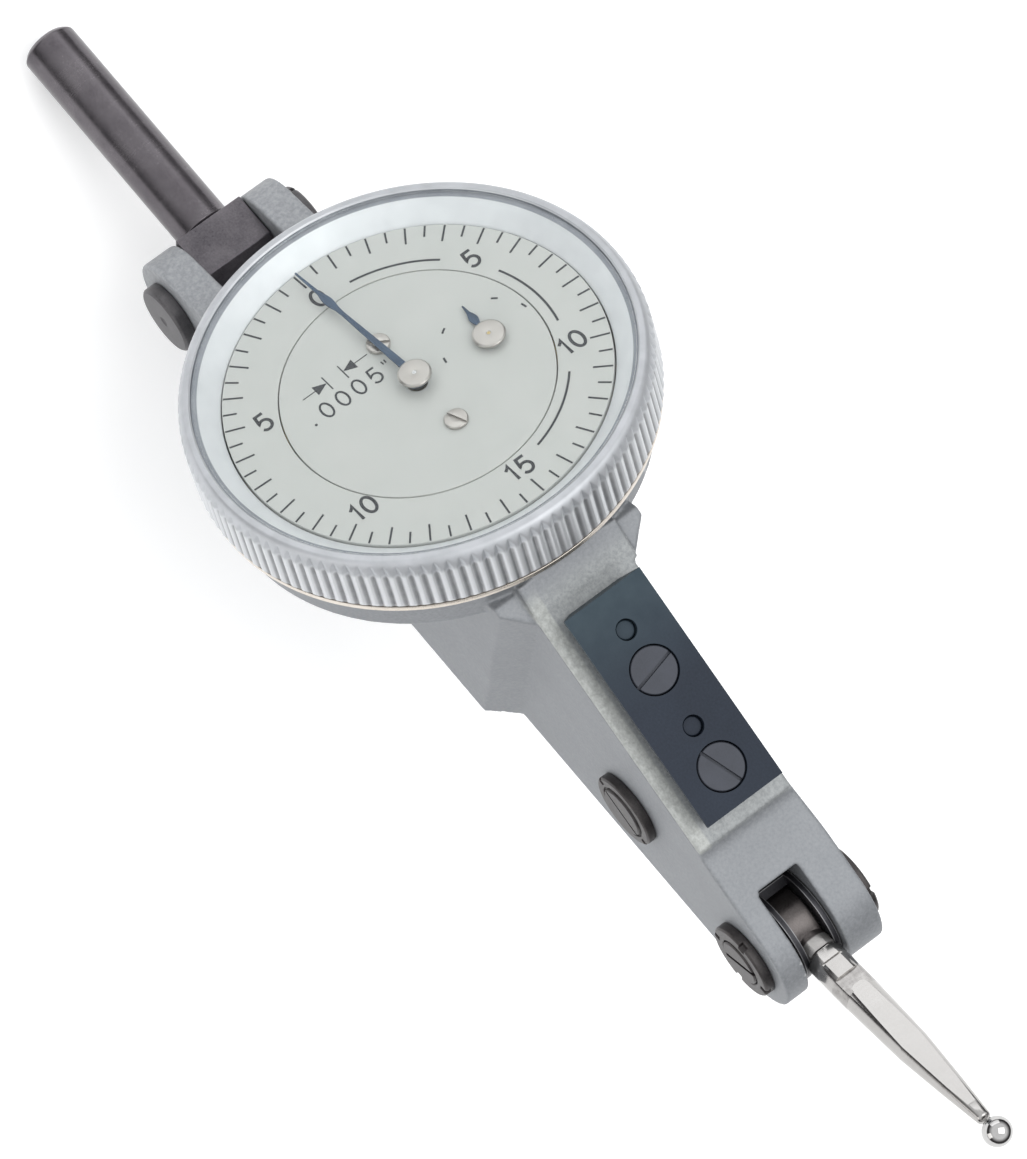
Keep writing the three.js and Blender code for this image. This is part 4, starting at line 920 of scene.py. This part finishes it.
for s, nm in ((1, "left"), (-1, "right")):
    # the middle bearing: a wide flange with two notches and a raised slotted centre
    face = NECK_HW + 0.82
    me = lathe(fillet([(0, 2.55), (0.55, 2.55), (1.28, 3.15), (1.28, NECK_HW + 0.04, 0.0), (2.65, NECK_HW + 0.04, 0.04), (2.65, NECK_HW + 0.6, 0.1), (2.5, NECK_HW + 0.7, 0.08), (1.98, NECK_HW + 0.7, 0.04), (1.94, NECK_HW + 0.55, 0.03), (1.82, NECK_HW + 0.55, 0.03), (1.76, face - 0.05, 0.05), (1.68, face, 0.05), (0, face)], 0.05, 3), 96)
    nb = [box(2.15, 4, -0.24, 0.24, NECK_HW + 0.25, 9, Matrix.Rotation(a, 4, "Z")) for a in (0.0, math.pi)]
    me = bevelled(cut(me, box(-1.74, 1.74, -0.1, 0.1, face - 0.3, face + 1), *nb), 0.03, 2, 40)
    rot = 0.4 if s > 0 else 0.03
    piece(me, f"mid_bearing_screw_{nm}_oxide", "housing_body", M_SIDE, outward(MID_P[0], MID_P[1], s) @ Matrix.Rotation(rot, 4, "Z"), [f"mid_bearing_screw_{nm}"], sharp=35)
    inner = CONTACT_Y + 1.55 if s > 0 else -(CONTACT_Y - 1.55)
    top = NECK_HW + 0.85
    me = lathe(fillet([(0, inner - 0.35), (0.4, inner - 0.35), (0.62, inner + 0.05), (0.9, inner + 0.3), (1.66, inner + 0.35), (1.66, top - 0.1, 0.1), (1.56, top, 0.06), (0, top)], 0.05, 3), 80)
    me = bevelled(cut(me, box(-3, 3, -0.15, 0.15, top - 0.35, 9)), 0.03, 2, 40)
    piece(me, f"fork_bearing_screw_{nm}_oxide", "housing_body", M_SIDE, outward(FORK_P[0], FORK_P[1], s) @ Matrix.Rotation(0.7 if s > 0 else 0.97, 4, "Z"), [f"fork_bearing_screw_{nm}"], sharp=35)
    piece(ring_nut(1.74, 2.7, NECK_HW + 0.05, NECK_HW + 0.75, 4, 0.55, 0.4, ph=0.4), f"fork_lock_ring_{nm}_oxide", "housing_body", M_SIDE, outward(FORK_P[0], FORK_P[1], s), [f"fork_lock_ring_{nm}"], sharp=35)
    # the clevis screw
    R, t0, t1 = (2.6, EAR_HW + 0.04, EAR_HW + 0.8) if s > 0 else (2.45, EAR_HW + 0.04, EAR_HW + 1.0)
    top = [(R, t1 - 0.16, 0.16), (R - 0.18, t1, 0.1)] + ([(0, t1)] if s > 0 else [(0.42, t1 + 0.0, 0.06), (0.3, t1 - 0.06, 0.04), (0, t1 - 0.16)])
    me = lathe(fillet([(0, 3.5), (1.1, 3.5), (1.2, 3.6), (1.2, t0, 0.0), (R, t0, 0.04)] + top, 0.05, 4), 96)
    if s > 0:
        me = bevelled(cut(me, box(-4, 4, -0.2, 0.2, t1 - 0.35, 9)), 0.03, 2, 40)
    piece(me, f"clevis_screw_{nm}_oxide", "housing_body", M_CLEVIS, outward(SWIVEL_P[0], SWIVEL_P[1], s) @ Matrix.Rotation(0.5 if s > 0 else 0.0, 4, "Z"), [f"clevis_screw_{nm}"], sharp=35)

# ------------------------------------------------------------------ contact: hub, point, ball
hubm = lathe(fillet([(0.6, -0.95), (2.4, -0.95, 0.12), (2.4, 0.95, 0.12), (0.6, 0.95)], 0.06, 4, True), 128, True, Matrix.Rotation(rad(-90), 4, "X"))
tongue = boolean(lathe([(0, 1.7), (1.33, 1.7), (1.33, 3.4), (0, 3.4)], 96, m=ALONG_X), [box(0, 4, -0.95, 0.95, -3, 3)], "INTERSECT")
hubm = cut(join(hubm, tongue), lathe([(0, 1.25), (0.52, 1.25), (0.52, 4.2), (0, 4.2)], 48, m=ALONG_X), *[prism([(2.3, 1.3 * f), (4.4, 1.2 * f), (4.4, 3 * f), (2.3, 3 * f)], -3, 3) for f in (1, -1)])
piece(bevelled(hubm, 0.03, 2, 40), "contact_hub_steel", "contact", M_HUB, CONTACT, ["contact_hub"], sharp=35)
pp = [(0, 1.35), (0.45, 1.35), (0.45, 3.5), (1.3, 3.5, 0.03), (1.33, 3.56, 0.05), (1.33, 6.9, 0.5), (1.27, 9.6, 3), (1.19, 12.6, 3), (0.84, 16.6, 3), (0.5, 19.9, 0.4), (0, 19.95)]
pt = lathe(fillet(pp, 0.05, 6), 128, m=ALONG_X)
# flats ground on both faces: a short one, a groove, the spanner flat, a recess, and the long tapering one
flats = []
for f in (1, -1):
    flats.append(prism([(x, z * f) for x, z in [(3.0, 1.267), (4.42, 1.2), (4.42, 1.08), (4.56, 1.08), (4.56, 1.18), (5.92, 1.18), (5.92, 1.6), (7.0, 1.6), (7.0, 1.2), (18.6, 0.56), (19.3, 0.75), (19.3, 3), (3.0, 3)]], -3, 3))
    pad = [(5.92, -2), (7.42, -2), (7.42, -0.56)] + arc(7.42, -0.16, 0.4, 270, 180, 10)[1:] + arc(7.42, 0.16, 0.4, 180, 90, 10)[:-1] + [(7.42, 0.56), (7.42, 2), (5.92, 2)]
    flats.append(plate(pad, 0.98 if f > 0 else -3, 3 if f > 0 else -0.98))
pt = bevelled(cut(pt, *flats), 0.035, 3, 30)
piece(pt, "contact_point_ground", "contact", M_POINT, CONTACT, ["contact_point"], sharp=35)
bl = lathe([(0, -0.8), (0.5, -0.8)] + [(BALL_R * math.sin(rad(a)), -BALL_R * math.cos(rad(a))) for a in [33 + (180 - 33) * i / 40 for i in range(40)]] + [(0, BALL_R)], 96, m=ALONG_X)
piece(bl, "contact_ball_polished", "contact", M_BALL, CONTACT @ Matrix.Translation((CONTACT_L, 0, 0)), ["contact_ball"])

# ------------------------------------------------------------------ the yoke that the hub turns in
AX = (FORK_P[0] - MID_P[0], FORK_P[1] - MID_P[1])
AD = math.hypot(*AX)
ad = (AX[0] / AD, AX[1] / AD)
A1 = AD - AD / (1 + 10 / 3)


def Q(r, t):
    return (r * ad[0] - t * ad[1], r * ad[1] + t * ad[0])


ra = math.degrees(math.atan2(-ad[1], -ad[0]))
yk = join(cyl_y(0, 0, 3.4, CONTACT_Y - 1.45, CONTACT_Y - 1.05, 128), cyl_y(0, 0, 3.4, CONTACT_Y + 1.05, CONTACT_Y + 1.45, 128),
          prism(arc(0, 0, 3.38, ra - 38, ra + 38, 30) + arc(0, 0, 2.62, ra + 38, ra - 38, 30), CONTACT_Y - 1.44, CONTACT_Y + 1.44),
          prism([Q(-3.0, 0.75), Q(-A1 - 0.75, 0.55), Q(-A1 - 0.75, -0.55), Q(-3.0, -0.75)], CONTACT_Y - 0.75, CONTACT_Y + 0.75))
yk = cut(yk, cyl_y(0, 0, 0.75, CONTACT_Y - 2, CONTACT_Y + 2, 48), cyl_y(*Q(-A1, 0), 0.42, CONTACT_Y - 2, CONTACT_Y + 2, 48))
piece(bevelled(yk, 0.06, 3, 30), "lever_yoke_oxide", "stylus_lever", M_YOKE, Matrix.Translation((FORK_P[0], 0, FORK_P[1])), ["lever_yoke"], sharp=35)

# ------------------------------------------------------------------ stem and swivel block
bp_ = [(-3.3, 2.35, 0.1), (0.05, 2.35, 0.2), (2.3, 0.6, 0.5), (2.95, -0.5, 0.4), (2.5, -1.5, 0.4), (1.2, -2.35, 0.4), (-3.3, -2.35, 0.1)]
bk = prism(fillet(bp_, 0.1, 4, True), -CLEVIS_HW + 0.12, CLEVIS_HW - 0.12)
bk = cut(bk, cyl_y(0, 0, 1.28, -5, 5), lathe([(0, -6), (1.25, -6), (1.25, -1.85), (0, -1.85)], 48, m=ALONG_X))
piece(bevelled(bk, 0.12, 3, 30), "swivel_block_browned", "stem_body", M_BLOCK, STEM, ["swivel_block"], sharp=35)
rd = lathe(fillet([(0, -STEM_LEN), (STEM_R - 0.32, -STEM_LEN, 0.2), (STEM_R, -STEM_LEN + 0.32, 0.25), (STEM_R, -3.4 - 0.2, 0.15), (STEM_R - 0.2, -3.4, 0.1), (1.2, -3.4, 0.05), (1.2, -1.95), (0, -1.95)], 0.1, 5), 128, m=ALONG_X)
piece(rd, "stem_browned", "stem_body", M_STEM, STEM, ["stem"])

# ------------------------------------------------------------------ pieces that keep their CAD mesh
keep = {
    "base_cover": (M_CAST, 0.08), "base_cover_screw_rear": (M_SCREW, 0.03), "base_cover_screw_front": (M_SCREW, 0.03),
    "upper_plate": (M_BRASS, 0.03), "lower_plate": (M_BRASS, 0.03), "pillar_a": (M_BRASS, 0.03), "pillar_b": (M_BRASS, 0.03), "pillar_c": (M_BRASS, 0.03),
    "hairspring": (M_STEEL, 0), "hairspring_stud": (M_BRASS, 0.03), "centre_arbor": (M_STEEL, 0), "counter_wheel": (M_BRASS, 0), "crown_wheel": (M_BRASS, 0),
    "crown_arbor": (M_STEEL, 0), "sector_lever": (M_BRASS, 0), "sector_arbor": (M_STEEL, 0.03), "drive_pin": (M_STEEL, 0.02), "swivel_pin": (M_STEM, 0.05),
}
for n, (mt, bv) in keep.items():
    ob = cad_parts[n]
    ob.data.materials.clear()
    ob.data.materials.append(mt)
    if bv:
        md = ob.modifiers.new("bevel", "BEVEL")
        md.width, md.segments, md.limit_method, md.angle_limit = bv * 0.001, 2, "ANGLE", rad(35)

# ------------------------------------------------------------------ floor, light, camera
zf = CAD_BOX[0][2] - 0.0002
fm = bpy.data.meshes.new("floor")
fm.from_pydata([(-0.26, -0.26, zf), (0.26, -0.26, zf), (0.26, 0.26, zf), (-0.26, 0.26, zf)], [], [(0, 1, 2, 3)])
fl_ = bpy.data.objects.new("floor", fm)
bpy.context.scene.collection.objects.link(fl_)
m, nt, bs, out = new_mat("pale_floor")
v, _ = coords(nt)
nt.links.new(ramp(nt, noise(nt, v, 30, 3.0), [(0.3, grey(0.90)), (0.7, grey(0.93))]), bs.inputs["Base Color"])
bs.inputs["Roughness"].default_value = 0.9
bs.inputs["Specular IOR Level"].default_value = 0.1
bs.inputs["Emission Color"].default_value = (1, 1, 1, 1)
bs.inputs["Emission Strength"].default_value = 0.25
fm.materials.append(m)
fl_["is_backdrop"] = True


def area(name, loc, target, size, power, color=(1, 1, 1), size_y=None):
    ld = bpy.data.lights.new(name, "AREA")
    ld.energy, ld.size, ld.color = power, size, color
    if size_y:
        ld.shape, ld.size_y = "RECTANGLE", size_y
    ob = bpy.data.objects.new(name, ld)
    bpy.context.scene.collection.objects.link(ob)
    ob.location = loc
    ob.rotation_mode = "QUATERNION"
    ob.rotation_quaternion = (Vector(target) - Vector(loc)).to_track_quat("-Z", "Y")
    return ob


mid = (-0.011, 0, -0.016)
CR, CU, CF = Vector((0.5703, 0.7843, 0.2443)), Vector((-0.8168, 0.5729, 0.0677)), Vector((0.0868, 0.2382, -0.9673))


def at(r, u, b):
    """A place by the camera's right, up and back, round the object."""
    return Vector(mid) + CR * r + CU * u - CF * b


area("main", at(0.22, 0.03, 0.37), mid, 0.3, 0.62, (1.0, 1.0, 0.99), 0.34)
area("left", at(-0.34, -0.24, 0.2), mid, 0.26, 0.33, (1.0, 0.985, 0.965), 0.26)
area("back", (-0.575, 0.144, 0.168), (-0.02, 0, -0.012), 0.7, 1.0, (0.985, 0.993, 1.0), 0.36)

wd = bpy.data.worlds.new("studio")
bpy.context.scene.world = wd
wd.use_nodes = True
wn = wd.node_tree
wn.nodes.clear()
wo = wn.nodes.new("ShaderNodeOutputWorld")
bg = wn.nodes.new("ShaderNodeBackground")
tc = wn.nodes.new("ShaderNodeTexCoord")
sp = wn.nodes.new("ShaderNodeSeparateXYZ")
wn.links.new(tc.outputs["Generated"], sp.inputs[0])
rm = wn.nodes.new("ShaderNodeValToRGB")
rm.color_ramp.elements[0].position, rm.color_ramp.elements[0].color = 0.16, (0.07, 0.068, 0.07, 1)
rm.color_ramp.elements[1].position, rm.color_ramp.elements[1].color = 0.6, (0.985, 0.992, 1.0, 1)
wn.links.new(sp.outputs["Z"], rm.inputs[0])
wn.links.new(rm.outputs[0], bg.inputs[0])
bg.inputs[1].default_value = 1.1
wn.links.new(bg.outputs[0], wo.inputs[0])

cam_d = bpy.data.cameras.new("camera")
cam = bpy.data.objects.new("camera", cam_d)
bpy.context.scene.collection.objects.link(cam)
right = Vector((0.5702926819, 0.7842740785, 0.2442957774))
down = Vector((0.8168375780, -0.5728801000, -0.0677108745))
fwd = Vector((0.0868483056, 0.2381649873, -0.9673338672))
pos = Vector((-0.06149310373, -0.13965787148, 0.55028910724))
cam.matrix_world = Matrix(((right.x, -down.x, -fwd.x, pos.x), (right.y, -down.y, -fwd.y, pos.y), (right.z, -down.z, -fwd.z, pos.z), (0, 0, 0, 1)))
cam_d.sensor_width = 36.0
cam_d.lens = 9000 / 1159 * 36.0            # the long side is the height
cam_d.clip_start, cam_d.clip_end = 0.01, 20
bpy.context.scene.camera = cam
bpy.context.scene.view_settings.view_transform = "Standard"

b0, b1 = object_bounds()
